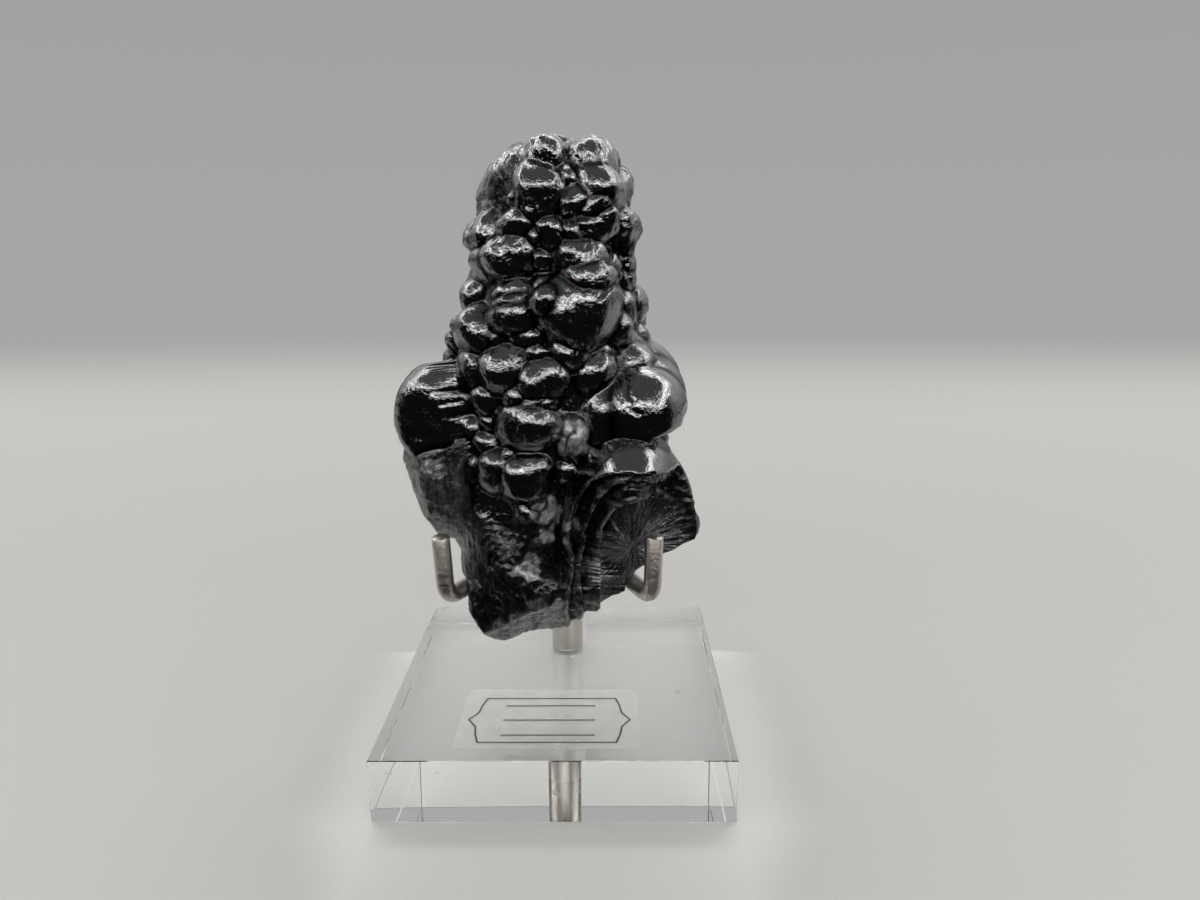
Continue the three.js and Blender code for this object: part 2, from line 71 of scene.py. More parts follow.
def place_camera():
    """Camera looking along +Y, turned left, tipped down and rolled by small angles."""
    data = bpy.data.cameras.new("camera")
    data.lens = LENS
    data.sensor_width = SENSOR
    data.clip_start = CLIP_NEAR
    camera = bpy.data.objects.new("camera", data)
    bpy.context.scene.collection.objects.link(camera)
    camera.location = [v * MM for v in CAMERA_AT]
    down, left, roll = CAMERA_DOWN, CAMERA_LEFT, CAMERA_ROLL
    ahead = np.array([-math.sin(left) * math.cos(down), math.cos(left) * math.cos(down), -math.sin(down)])
    level = np.array([math.cos(left), math.sin(left), 0.0])
    over = np.cross(level, ahead)
    right = math.cos(roll) * level - math.sin(roll) * over
    up = math.sin(roll) * level + math.cos(roll) * over
    camera.rotation_mode = "QUATERNION"
    turn = Matrix((right.tolist(), up.tolist(), (-ahead).tolist())).transposed()
    camera.rotation_quaternion = turn.to_quaternion()
    bpy.context.scene.camera = camera


place_camera()

# -------- sizes of the stand

BLOCK = 63.5
BLOCK_HIGH = 12.0
EDGE = 0.12
CORNER = 0.2

POST_R = 3.45
POST_X = 0.4
POST_Y = 19.8
POST_LOW = 1.8
POST_TOP = 42.0
POST_CHAMFER = 0.35
HOLE_R = 3.43

ROD_R = 1.59
ROD_CHAMFER = 0.22
ARM_Z = 36.1
LEFT_HOOK = (-19.25, -18.4)
RIGHT_HOOK = (17.45, -18.4)
LEFT_TIP_OUT = 0.9
RIGHT_TIP_OUT = 0.7
# The slope of the stone where each arm carries it, as rise over run.
LEFT_SLOPE = 0.8
RIGHT_SLOPE = 0.65
HOOK_TOP = 48.0
HOOK_BEND = 3.4
APEX_BEND = 4.0
ARM_STEPS = 14

BACK_ROD_FOOT = 39.5
BACK_ROD_KNEE = 44.0
BACK_ROD_TOP = 70.0
BACK_ROD_LEAN = 5.2
BACK_ROD_BEND = 3.0
BACK_ROD_STEPS = 10

LABEL_X = -1.3
LABEL_Y = -18.0
LABEL_WIDE = 33.0
LABEL_DEEP = 20.5
LABEL_CORNER = 1.6
LABEL_LOW = 12.02
LABEL_HIGH = 12.13
PRINT_HIGH = 12.16

# -------- form of the stone

# The body's sections from ROW_LOW up, one every ROW_STEP: left, right, front and back edge.
ROW_LOW = 24.0
ROW_STEP = 6.0
ROWS = np.array([
    (-15.5, 0, -17, -7),
    (-16.5, 8, -18.5, -5),
    (-17.3, 13.5, -19, -2),
    (-18.3, 17, -18, 8),
    (-20, 19, -17, 12),
    (-21, 20, -16.5, 13),
    (-21, 21, -16.5, 13),
    (-20, 21.5, -16.5, 13.5),
    (-19.5, 21.5, -16.5, 14),
    (-19, 18.5, -16, 14),
    (-17.5, 14.5, -15.5, 13.5),
    (-15.5, 13.5, -15, 13),
    (-14, 13, -15, 12),
    (-13.3, 13.2, -15, 11),
    (-12.2, 12.8, -14, 9.5),
    (-8.6, 9.8, -11.5, 6.5),
])
SQUARENESS = 2.6
# The top falls away from its middle by TOP_CROWN times the distance squared.
BODY_TOP = 114.7
TOP_CROWN = 0.004
TOP_MIDDLE = -4.0
# A lump's centre lies BROW radii under its brow, and its lower part leans in and thins as it drops.
BROW = 0.6
DROP_LEAN = 0.1
DROP_TAPER = 0.1

# Front lumps, rounded above and dropping straight below: x and z of the brow, radius,
# width as a share of the radius, how far each stands proud of the body, and its drop.
HEAD_LUMPS = [
    (-0.4, 114, 4.2, 1, 2.2, 0),
    (-1.6, 108.9, 4.4, 1.1, 3, 3), (2.6, 109.4, 2.4, 1, 1.4, 0),
    (4.2, 106.2, 3.2, 1, 2.2, 1.4), (7, 113.2, 4.4, 1.1, 1.5, 0),
    (7.2, 108.9, 5.4, 1, 2.4, 0), (7.4, 105.4, 3.4, 1, 2.9, 0),
    (7.5, 103, 3.2, 1.4, 2.9, 0.8), (10.8, 102.7, 4.4, 1, 1.5, 2),
    (-5.8, 105.6, 1.5, 1.1, 0.7, 0), (-9.8, 102, 4.2, 1, 0.4, 4),
    (-4.7, 102.2, 2.7, 1.5, 2, 0.2), (-2, 99.5, 1.7, 1.2, 1.7, 0),
    (0.6, 101.2, 2.5, 1.2, 2.3, 1.4), (4, 101, 1.9, 1.2, 2.2, 0),
    (4.4, 102.5, 1.6, 1.2, 1.6, 0), (4.5, 98, 4.9, 1.2, 3.3, 0),
    (-6.4, 98.2, 3.9, 1.35, 3, 0.6), (-1.4, 96, 1.8, 1.2, 1.9, 0),
    (11, 98.5, 2.6, 1.4, 1.4, 0), (9.4, 95.6, 2.8, 1, 2.4, 1),
    (11.4, 94, 3.4, 1, 1.6, 0), (-10.6, 96.6, 3.4, 1, 1.2, 1),
]
NECK_LUMPS = [
    (5.6, 94.3, 5.2, 1.08, 5, 0), (4.3, 91.2, 7.4, 1.1, 6, 0),
    (0.2, 90, 2.8, 1.2, 5.2, 0.6),
    (-0.4, 92, 3.6, 1, 2.4, 1), (11, 85, 3.6, 1, 2.4, 0),
    (-13.2, 91, 3.2, 1, 1.6, 0), (-12, 86, 4.9, 1, 2.9, 0),
    (-6.6, 91, 2.5, 1.4, 2.4, 0), (-6.3, 89.4, 2.5, 1.45, 2.9, 0),
    (-6, 87.8, 3.5, 1.3, 3.5, 0.2), (-14.8, 88.9, 1.8, 1, 0.9, 0),
    (-4.3, 83.3, 1.9, 1.6, 2.3, 0), (-2.4, 80.4, 1.8, 1.4, 2.1, 0),
    (2.6, 81.4, 3, 1.3, 2.6, 0), (12.4, 90, 4.2, 1, 1.4, 1),
    (-8.8, 84, 2.4, 1.2, 1.8, 0),
]
WAIST_LUMPS = [
    (-13, 78.7, 4.6, 1, 2.6, 0), (-7.9, 80, 5, 1.05, 3.4, 0),
    (-10.7, 73.8, 3.6, 1, 2.5, 0), (-1.3, 77.4, 4.3, 1.2, 3.6, 0),
    (-5.4, 73.7, 2.7, 1.1, 2.6, 0), (-2.2, 72.3, 1.9, 2.1, 2.7, 0),
    (-4.1, 70.4, 5.2, 1.2, 4.3, 0), (-10.4, 69.1, 1.8, 1.4, 1.8, 0),
    (-8.7, 70.4, 1.7, 1.2, 1.8, 0), (-13.4, 67.4, 2.4, 1.1, 1.2, 0),
    (3.4, 68.2, 4, 0.9, 2.2, 2.6), (2.6, 60.4, 2.2, 1, 1.6, 0.6),
    (6.4, 78.8, 4.5, 1, 1.6, 0),
    (-14.8, 73, 3, 1, 1.4, 0.4),
    (-11.6, 65.4, 2.4, 1.2, 1.4, 0.4),
]
HIP_LUMPS = [
    (-9.6, 62.2, 3.4, 1.2, 2.8, 2.2), (-7.4, 63.4, 1.8, 1, 2, 0),
    (-4.6, 61.2, 3.4, 1.4, 3.4, 2.8), (-14.4, 60.6, 3.4, 1.1, 1.2, 1),
    (-3.4, 54.6, 1.9, 1.1, 1.3, 0), (-5, 52.4, 2, 1.2, 1.1, 0),
]
# Lumps on the sides and on top: centre x, y, z and radius.
SIDE_LUMPS = [
    (12.9, -6, 99.6, 2.5), (11.4, -8, 94.6, 3.6), (10.6, -8, 86.4, 4.6),
    (12.2, 0, 84, 4.4), (-15.8, -9, 83.8, 2.2), (-16.6, -8, 80.6, 2.4),
    (-17, -6, 77.2, 3), (-12.6, -6, 99.4, 3.2), (10.2, -3, 107, 4.4),
    (-4.4, -5.6, 112.4, 2.7), (0.3, -6.4, 113.1, 2.8), (6.4, -6, 112.3, 2.8),
    (8.4, -4.4, 111.9, 3.3), (2.8, 0.4, 112.2, 3),
    (-3.4, 1.2, 111.8, 3.2),
]

# Lumps on the flanks: heights, radius and how it varies, share that stands proud, and how far
# round to the front and the back they go, as the sine of the turn.
FLANK_COUNT = 110
FLANK_LOW = 42.0
FLANK_HIGH = 104.0
FLANK_R = 4.0
FLANK_VARY = 1.3
FLANK_BEAT = 12.9
FLANK_PROUD = 0.13
FLANK_AHEAD = 0.5
FLANK_BEHIND = -0.8

# Large lumps: centre x, y, z and half-widths.
FLANGE = (-22.0, -9.6, 68.0, 6.3, 8.0, 8.8)
FLANGE_LOW = (-19.6, -8.6, 57.0, 8.6, 7.4, 13.0)
FLANGE_SQUARENESS = 2.2
LOBE = (12.8, -10.6, 49.5, 12.6, 12.0, 15.2)
LOBE_BROW = (13.4, -14.6, 55.8, 8.4, 11.4, 10.2)
LOBE_TIP = (20.3, -7.5, 46.0, 6.0, 7.5, 6.5)
DOME = (15.0, -10.5, 68.1, 9.1, 9.1, 9.1)
# Broken shells round the dome: shifts left, back and up, and how much larger each is.
DOME_SHELLS = [(3.4, 1.8, -0.6, 0.6), (0.6, 4.6, 1.6, 0.6), (1.4, 7.4, 3.0, 0.9)]

# The lobe's skin is broken away in arches, each deeper: half-width, height, depth.
ARCH_X = 14.1
ARCH_Z = 43.8
ARCHES = [(11.6, 17.4, 2.4), (9.2, 14.6, 4.8), (6.1, 11.0, 8.4)]
ARCH_RIGHT = 1.7
ARCH_BACK = -11.5
# Waves in the arches' outlines: how many to a turn, height, shift, and further shift for each arch.
ARCH_WAVES = [(3, 0.035, 1.0, 2.1), (7, 0.02, 0.0, 1.7)]

# Broken faces, each a point and the direction it faces.
FRONT_BREAK = ((-12, -17.6, 42), (-0.22, -0.97, -0.05))
RIDGE_BREAK = ((-5, -18.4, 49), (0.62, -0.78, -0.2))
RIDGE_FOOT = ((-4, -16, 42), (0.3, -0.5, 0.8))
SHOULDER = ((-7.9, -11.4, 107), (-0.34, -0.92, 0.16))
FLANGE_BREAKS = [
    ((-27.0, -9, 58), (-0.93, -0.1, -0.34)),
    ((-18.0, -16.2, 54), (-0.25, -0.96, -0.1)),
    ((-24.4, -13.0, 54), (-0.76, -0.64, -0.1)),
]
FLANGE_FACE = ((-22.5, -15.4, 68), (-0.16, -0.98, -0.06))
FLANGE_FOOT = ((-22, -14, 61.4), (0, -0.12, -1))
TIP_BREAK = ((20, -8, 42.6), (0.1, -0.05, -1))
DOME_BREAK = ((23.4, -12, 68), (0.93, -0.22, -0.3))
DOME_FOOT = ((18, -15, 65.2), (0.35, 0, -0.94))
FRONT_BEVEL = ((-8, -17.5, 31), (0.22, -0.7, -0.67))
BREAKS = [
    FRONT_BEVEL,
    ((-6, -12, 26.2), (0.09, 0.12, -0.99)),
    ((-4, -8, 27), (0.15, 0.72, -0.68)),
    ((-12.6, -15, 28.5), (-0.72, 0, -0.69)),
    ((7, -14, 31), (0.5, 0.15, -0.84)),
    ((0.4, 14.2, 62), (0.02, 0.98, 0.2)),
    ((-14, 11, 66), (-0.5, 0.86, 0.1)),
    ((15, 11, 60), (0.52, 0.85, -0.08)),
    ((0, 11.5, 46), (0.05, 0.72, -0.69)),
]

# Widths over which neighbouring forms run into each other, and over which edges are rounded.
TOP_SOFT = 5.0
LUMP_BLEND = 0.7
LOBE_BLEND = 2.0
LOW_BLEND = 0.6
FLANGE_BLEND = 0.5
LOBE_JOIN = 0.4
DOME_JOIN = 0.3
BREAK_SOFT = 0.4
SHOULDER_SOFT = 1.5
FACE_SOFT = 1.6
FOOT_SOFT = 0.8

# The whole form is bent by waves this high, the second a share of the first.
BEND = 0.35
BEND_SECOND = 0.4

# Room that the stone leaves round the arms, and under the top of the solid's box.
ROOM = 0.3
TOP_ROOM = 0.02

# Below this height the skin is broken away, along an edge that wanders.
BROKEN_BELOW = 51.0
BROKEN_WANDER = 3.0
BROKEN_PATCH = 9.0
BROKEN_FADE = 1.5
# Skin counts as torn off this deep inside the whole form, and as calm this close to dome or lobe.
TORN_DEEP = 0.1
TORN_FADE = 0.4
CALM_REACH = 0.05

# Fine cracks on the front, each a run of x and z.
CRACKS = [
    [(12.7, 76.2), (13.2, 74.6), (13.0, 73.2), (13.8, 71.8), (13.6, 70.6), (14.6, 69.6)],
    [(-18.6, 80.2), (-17.2, 78.6), (-16.2, 77.0), (-15.2, 74.6), (-14.8, 72.0)],
    [(10.2, 98.4), (12.2, 95.2), (13.4, 91.8), (14.8, 88.4), (15.4, 82.8)],
    [(8.6, 89.0), (11.2, 91.6), (13.2, 94.6)],
    [(0.6, 66.2), (2.6, 65.4), (4.2, 66.6)],
    [(2.6, 65.4), (2.2, 62.8), (3.6, 60.6)],
]
CRACK_WIDE = 0.42
CRACK_WANDER = 0.25
CRACK_BACK = -6.0

# Paler patches on the front, the first a painted reflection of the bright wall on a cracked lump, the
# others on broken faces: x, z and radius.
PALE_PATCHES = [
    (3.5, 65.4, 3.5), (-1.2, 51.8, 3.0), (-1.6, 46.8, 2.0),
    (-4.6, 41.2, 2.6), (3.4, 49.0, 1.8), (3.0, 46.2, 1.4),
]
# Strengths of the paler mask: the underside's front bevel, a painted reflection of the floor; the left
# flank; and a painted highlight along the arches' broken edges, with its width and the depth where it
# stops.
BEVEL_REFLECTION = 0.5
FLANK_PALE = 0.3
RIM_HIGHLIGHT = 0.7
RIM_WIDE = 0.4
RIM_BACK = -11.0
# What is drawn on the front alone stops at this depth.
FRONT_ONLY = -8.0
# Painted shade along the creases between lumps: its width, the depth where it ends towards the back, and
# the distance over which it fades before that.
CREASE_WIDE = 0.75
CREASE_BACK = -1.0
CREASE_FADE = 4.0

# Fine relief: height and cell size, and the shift that sets each pattern apart.
DENTS = (0.08, 2.3, 0)
PITS = (0.1, 1.05, 31)
HEAD_CRINKLE = (0.2, 1.7, 7)
FLANK_RIPPLE = (0.14, 2.4, 5)
CALM_SHARE = 0.6
HEAD_ROUGHER = 0.8
REAR_ROUGHER = 1.6
CRACK_DEEP = 0.35
LEDGE_HIGH = 0.16
LEDGE_REAR = 0.26
LEDGE_SIZE = 3.6
CHIP_HIGH = 0.14
CHIP_SIZE = 1.3
FIBRE_HIGH = 0.3
# Steps along the arches: pitch, height, share of each that rises, and the reach from their middle.
STEP_PITCH = 1.15
STEP_HIGH = 0.42
STEP_RISE = 0.75
STEP_SQUASH = 0.68
STEP_FROM = 5.6
STEP_TO = 13.6

# The stone's grid: spokes round and rows up a spine, the share of the rows that fan out at each
# end, and how much the spokes crowd to the front.
COLUMNS = 330
STONE_ROWS = 298
SPINE_LOW = 31.0
SPINE_HIGH = 106.0
FAN_SHARE = 0.12
FRONT_BIAS = 0.35
# Walks inwards: start, most steps, the share of the distance that a step takes, and near enough.
RAY_START = 36.0
RAY_STEPS = 140
RAY_SHARE = 0.7
RAY_CLOSE = 0.004
BODY_START = 40.0
BODY_STEPS = 60
BODY_SHARE = 0.9
# The rows are worked out in groups, each with only the lumps within NEAR of its heights.
ROW_GROUPS = 30
NEAR = 15.0

# -------- distances, all over arrays


def smooth(t):
    """Rises from 0 to 1 as 3 t squared less 2 t cubed."""
    t = np.clip(t, 0.0, 1.0)
    return t * t * (3.0 - 2.0 * t)


def soft_min(a, b, k):
    """The smaller of two distances, rounded over a width k."""
    h = np.maximum(k - np.abs(a - b), 0.0) / k
    return np.minimum(a, b) - h * h * k / 4


def soft_max(a, b, k):
    """The larger of two distances, rounded over a width k."""
    return -soft_min(-a, -b, k)


def length(v):
    """Length of each vector in an array."""
    return np.sqrt((v * v).sum(-1))


def ellipsoid(p, row, power=2.0):
    """Distance to an ellipsoid: k - 1 over the slope of k, for k the scaled radius to a power."""
    q = np.abs(p - np.array(row[:3])) / np.array(row[3:])
    near = (q**power).sum(-1) ** (1 / power) + 1e-9
    slope = length((q / near[..., None]) ** (power - 1) / np.array(row[3:]))
    return (near - 1.0) / (slope + 1e-9)


def above(p, face):
    """Height over a plane given by a point and the way it faces."""
    facing = np.array(face[1], float)
    return (p - np.array(face[0], float)) @ (facing / np.linalg.norm(facing))


def section(z):
    """Left, right, front and back of the body at height z, a Catmull-Rom curve between rows."""
    t = np.clip((z - ROW_LOW) / ROW_STEP, 0.0, len(ROWS) - 1.001)
    i = t.astype(int)
    f = (t - i)[..., None]
    a, b, c, d = (ROWS[np.clip(i + k, 0, len(ROWS) - 1)] for k in (-1, 0, 1, 2))
    square = 2 * a - 5 * b + 4 * c - d
    cube = 3 * b - a - 3 * c + d
    return (2 * b + (c - a) * f + square * f**2 + cube * f**3) / 2


def body(p):
    """Rounded-square sections, |u|^n + |v|^n = 1, under a gently domed top."""
    left, right, front, back = np.moveaxis(section(p[..., 2]), -1, 0)
    half_x, half_y = (right - left) / 2, (back - front) / 2
    u = np.abs(p[..., 0] - (left + right) / 2) / half_x
    v = np.abs(p[..., 1] - (front + back) / 2) / half_y
    around = (u**SQUARENESS + v**SQUARENESS + 1e-12) ** (1 / SQUARENESS)
    side = (around - 1.0) * np.minimum(half_x, half_y)
    top = p[..., 2] - BODY_TOP + TOP_CROWN * (p[..., 1] - TOP_MIDDLE) ** 2
    return soft_max(side, top, TOP_SOFT)


def walk_to_body(start, direction):
    """Moves points along a direction, each time by most of the distance left, onto the body."""
    p = start.copy()
    for _ in range(BODY_STEPS):
        p += direction * (body(p) * BODY_SHARE)[:, None]
    return p


def front_lumps():
    """Cap centres, set back from the body's skin by the radius less how proud each lump is."""
    rows = np.array(HEAD_LUMPS + NECK_LUMPS + WAIST_LUMPS + HIP_LUMPS)
    x, z, r, wide, proud, drop = rows.T
    z = z - BROW * r
    start = np.stack([x, np.full(len(x), -BODY_START), z], -1)
    skin = walk_to_body(start, np.array([[0.0, 1.0, 0.0]]))
    return np.stack([x, skin[:, 1] - proud + r, z, r, wide, drop], -1)


def plain_lumps(rows):
    """Round lumps, neither widened nor dropped."""
    rows = np.asarray(rows)
    plain = np.tile([1.0, 0.0], (len(rows), 1))
    return np.concatenate([rows, plain], 1)


def flank_lumps():
    """Lumps turned round the body by the golden angle, climbing evenly; none on front or back."""
    k = np.arange(FLANK_COUNT)
    turn = (k * math.pi * (3 - math.sqrt(5))) % (2 * math.pi)
    z = FLANK_LOW + (FLANK_HIGH - FLANK_LOW) * (k + 0.5) / FLANK_COUNT
    r = FLANK_R + FLANK_VARY * np.sin(FLANK_BEAT * k)
    to_front = -np.sin(turn)
    keep = (to_front <= FLANK_AHEAD) & (to_front >= FLANK_BEHIND)
    turn, z, r = turn[keep], z[keep], r[keep]
    out = np.stack([np.cos(turn), np.sin(turn), np.zeros(len(z))], -1)
    left, right, front, back = section(z).T
    middle = np.stack([(left + right) / 2, (front + back) / 2, z], -1)
    skin = walk_to_body(middle + BODY_START * out, -out)
    centre = skin - out * (r * (1 - FLANK_PROUD))[:, None]
    return np.concatenate([centre, r[:, None]], 1)


LUMPS = np.concatenate([front_lumps(), plain_lumps(SIDE_LUMPS), plain_lumps(flank_lumps())])


def lumps(p, near):
    """Distances to the nearest lump and to the second nearest."""
    first = np.full(len(p), 1e9)
    second = np.full(len(p), 1e9)
    for x, y, z, r, wide, drop in near:
        below = np.clip(z - p[:, 2], 0.0, drop)
        across = (p[:, 0] - x) / wide
        d = np.sqrt(across**2 + (p[:, 1] - y - DROP_LEAN * below) ** 2 + (p[:, 2] - z + below) ** 2)
        d -= r - DROP_TAPER * below
        second = np.minimum(second, np.maximum(first, d))
        first = np.minimum(first, d)
    return first, second


def lobe_skin(p):
    """The lobe before it broke: a tall swelling with a rounder brow in front of its top."""
    return soft_min(ellipsoid(p, LOBE), ellipsoid(p, LOBE_BROW), LOBE_BLEND)


def arch_place(p):
    """Place in the arches: across from their middle, narrowed on the right, and up from it."""
    dx, dz = p[:, 0] - ARCH_X, p[:, 2] - ARCH_Z
    return np.where(dx > 0, dx / ARCH_RIGHT, dx), dz


def past_arch(p, k):
    """How far past the outline of arch k, as a share of its half-width; the outline is wavy."""
    half, high, _ = ARCHES[k]
    dx, dz = arch_place(p)
    turn = np.arctan2(dz, dx)
    wave = sum(size * np.sin(count * turn + shift + k * more) for count, size, shift, more in ARCH_WAVES)
    return np.hypot(dx / half, np.maximum(dz, 0.0) / high) - 1 - wave


def broken_front(p):
    """Space broken out of the lobe: nested arches, each cut to a deeper shell than the last.

    Below the middle of the arches both the outlines and the shells drop straight down.
    """
    raised = p.copy()
    raised[:, 2] = np.maximum(p[:, 2], ARCH_Z)
    lobe = lobe_skin(raised)
    space = np.full(len(p), 1e9)
    for k, (half, _, depth) in enumerate(ARCHES):
        space = np.minimum(space, np.maximum(past_arch(p, k) * half, -(lobe + depth)))
    return np.maximum(space, p[:, 1] - ARCH_BACK)


def dome(p):
    """Distances to the dome and to the broken shells that step back round it."""
    x, y, z, rx, ry, rz = DOME
    parts = [ellipsoid(p, DOME)]
    for left, back, up, more in DOME_SHELLS:
        parts.append(ellipsoid(p, (x - left, y + back, z + up, rx + more, ry + more, rz + more)))
    return parts


def arm_lane(p, hook, slope):
    """The lane an arm needs: its inner wall and the slope that it carries."""
    along = np.array([hook[0] - POST_X, hook[1] - POST_Y])
    along /= np.linalg.norm(along)
    side = math.copysign(1.0, hook[0])
    outward = np.array([-along[1], along[0]]) * side
    s = (p[:, 0] - hook[0]) * outward[0] + (p[:, 1] - hook[1]) * outward[1]
    room = ROD_R + ROOM
    tilt = math.hypot(1.0, slope)
    return np.maximum(-(s + room), (p[:, 2] - ARM_Z - room * tilt - slope * s) / tilt)


def bend(p):
    """Slow wave, the sum of two sines on each axis, that bends every face a little."""
    x, y, z = p[:, 0], p[:, 1], p[:, 2]
    wave = lambda a, b: BEND * (np.sin(a) + BEND_SECOND * np.sin(b))
    return np.stack([
        x + wave(0.31 * y + 0.43 * z + 1, 0.83 * z - 0.31 * y),
        y + wave(0.37 * z + 0.39 * x + 2, 0.81 * x + 0.23 * z + 0.5),
        z + wave(0.43 * x + 0.27 * y + 4, 0.47 * y - 0.73 * x + 1.5),
    ], -1)


def flange(p):
    """Distances to the left flange's disc, cut flat in front and below, and to its broken lower part."""
    low = ellipsoid(p, FLANGE_LOW)
    for face in FLANGE_BREAKS:
        low = np.maximum(low, above(p, face))
    disc = soft_max(ellipsoid(p, FLANGE, FLANGE_SQUARENESS), above(p, FLANGE_FACE), FACE_SOFT)
    return soft_max(disc, above(p, FLANGE_FOOT), FOOT_SOFT), low


def stone(at, near, marks=False):
    """Signed distance to the stone, for the lumps near it.

    With marks it gives instead how torn the skin is, the gap between the two nearest forms,
    zero along the creases, and where the skin is calm.
    """
    p = bend(at)
    whole = body(p)
    core = soft_max(whole, above(p, FRONT_BREAK), BREAK_SOFT)
    core = soft_max(core, np.minimum(above(p, RIDGE_BREAK), above(p, RIDGE_FOOT)), BREAK_SOFT)
    core = soft_max(core, above(p, SHOULDER), SHOULDER_SOFT)
    swell, second = lumps(p, near)
    disc, low = flange(p)
    shells = dome(at)
    bulb = np.minimum.reduce(shells)
    tip = np.maximum(ellipsoid(p, LOBE_TIP), above(p, TIP_BREAK))
    lobe = np.minimum(lobe_skin(at), tip)
    d = soft_min(core, low, LOW_BLEND)
    d = soft_min(d, disc, FLANGE_BLEND)
    d = soft_min(d, swell, LUMP_BLEND)
    d = soft_min(d, lobe, LOBE_JOIN)
    d = np.maximum(d, -broken_front(at))
    footed = soft_max(bulb, above(at, DOME_FOOT), FOOT_SOFT)
    d = soft_min(d, np.maximum(footed, above(p, DOME_BREAK)), DOME_JOIN)
    for face in BREAKS:
        d = np.maximum(d, above(p, face))
    d = np.maximum(d, -arm_lane(at, LEFT_HOOK, LEFT_SLOPE))
    d = np.maximum(d, -arm_lane(at, RIGHT_HOOK, RIGHT_SLOPE))
    if not marks:
        return d
    whole = np.minimum.reduce([whole, swell, disc, bulb, lobe])
    torn = np.maximum(smooth((-whole - TORN_DEEP) / TORN_FADE), smooth((whole - low) / TORN_FADE))
    nearest = np.partition(np.array([core, swell, second, disc, low, lobe, *shells]), 1, axis=0)
    calm = np.minimum(bulb, lobe) <= nearest[0] + CALM_REACH
    return torn, nearest[1] - nearest[0], calm


# -------- the stone's mesh

PERM = np.random.RandomState(11).permutation(256)
SLOPES = np.random.RandomState(12).normal(size=(256, 3))
SLOPES /= length(SLOPES)[:, None]
# Brings the blended slopes to about -1 to 1.
NOISE_GAIN = 1.6


def noise(p, size):
    """Random slopes at the corners of cubes of the given size, blended across each cube."""
    q = p / size
    cell = np.floor(q).astype(int)
    f = q - cell
    fade = f**3 * (f * (f * 6 - 15) + 10)
    total = np.zeros(len(p))
    for corner in np.ndindex(2, 2, 2):
        x, y, z = ((cell + corner) & 255).T
        slope = SLOPES[PERM[(PERM[(PERM[x] + y) & 255] + z) & 255]]
        share = np.where(np.array(corner, bool), fade, 1 - fade).prod(-1)
        total += share * ((f - corner) * slope).sum(-1)
    return NOISE_GAIN * total


def stone_rays():
    """Start and direction of each ray: spokes off an upright spine that fan out at its ends."""
    v = np.linspace(0, 1, STONE_ROWS + 1)[:, None]
    u = np.linspace(0, 1, COLUMNS, endpoint=False)[None, :]
    low = np.clip((FAN_SHARE - v) / FAN_SHARE, 0, 1)
    high = np.clip((v - 1 + FAN_SHARE) / FAN_SHARE, 0, 1)
    lift = (math.pi / 2) * (high - low) + 0 * u
    share = np.clip((v - FAN_SHARE) / (1 - 2 * FAN_SHARE), 0, 1)
    z = SPINE_LOW + (SPINE_HIGH - SPINE_LOW) * share + 0 * u
    turn = 2 * math.pi * u + FRONT_BIAS * np.sin(2 * math.pi * u) + math.pi / 2 + 0 * v
    left, right, front, back = np.moveaxis(section(z), -1, 0)
    origin = np.stack([(left + right) / 2, (front + back) / 2, z], -1)
    level = np.cos(lift)
    way = np.stack([level * np.cos(turn), level * np.sin(turn), np.sin(lift)], -1)
    return origin, way


def walk_in(origin, way, near):
    """Walks every ray inwards, each time by most of the distance left, until it meets the stone."""
    t = np.full(len(origin), RAY_START)
    walking = np.arange(len(t))
    for _ in range(RAY_STEPS):
        d = stone(origin[walking] + way[walking] * t[walking, None], near)
        t[walking] -= RAY_SHARE * d
        walking = walking[np.abs(d) > RAY_CLOSE]
        if not len(walking):
            break
    return origin + way * t[:, None]


def grid_slopes(points):
    """Outward unit normals of a grid closed round its columns, from differences along both ways."""
    around = np.roll(points, -1, 1) - np.roll(points, 1, 1)
    up = np.gradient(points, axis=0)
    normal = np.cross(around, up)
    return normal / (length(normal)[..., None] + 1e-12)


def crack_depth(p):
    """One along the cracks on the front, fading with the distance to each straight run."""
    near = np.full(len(p), 1e9)
    at = p[:, [0, 2]] + CRACK_WANDER * np.stack([noise(p, 1.3), noise(p + 17, 1.3)], -1)
    for crack in CRACKS:
        for a, b in zip(crack, crack[1:]):
            run = np.subtract(b, a)
            share = np.clip((at - a) @ run / (run @ run), 0, 1)
            near = np.minimum(near, length(at - a - share[:, None] * run))
    return (1 - smooth(near / CRACK_WIDE)) * (p[:, 1] < CRACK_BACK)


def fan_mask(p):
    """One inside the smallest arch, where the fibres show."""
    dx, dz = arch_place(p)
    half, high, _ = ARCHES[-1]
    out = np.hypot(dx / half, np.maximum(dz, 0) / high)
    return smooth((1.05 - out) / 0.15) * (p[:, 1] < FRONT_ONLY)


def rim_highlight_mask(p):
    """One along the broken edges of the arches, in patches, where a painted highlight lines them."""
    rim = np.zeros(len(p))
    for k, (half, _, _) in enumerate(ARCHES):
        rim = np.maximum(rim, 1 - smooth(np.abs(past_arch(p, k) * half - 0.1) / RIM_WIDE))
    return rim * (p[:, 1] < RIM_BACK) * smooth(0.5 + 1.5 * noise(p, 2.0))


def arch_steps(p):
    """Thin steps that run along the arches: a saw's tooth over the distance from their middle."""
    dx, dz = arch_place(p)
    out = np.hypot(dx, np.maximum(dz, 0) * STEP_SQUASH)
    out = out + 0.5 * noise(p, 4.0) + 0.25 * noise(p, 1.6)
    tooth = (out / STEP_PITCH) % 1.0
    near = smooth(out - STEP_FROM) * smooth((STEP_TO - out) / 1.2) * (p[:, 1] < FRONT_ONLY)
    fall = smooth((tooth - STEP_RISE) / (1 - STEP_RISE))
    return STEP_HIGH * near * (smooth(tooth / STEP_RISE) - fall - 0.4)


def pattern(p, row):
    """Noise of a height and a cell size, shifted so that no two patterns match."""
    high, size, shift = row
    return high * noise(p + shift, size)


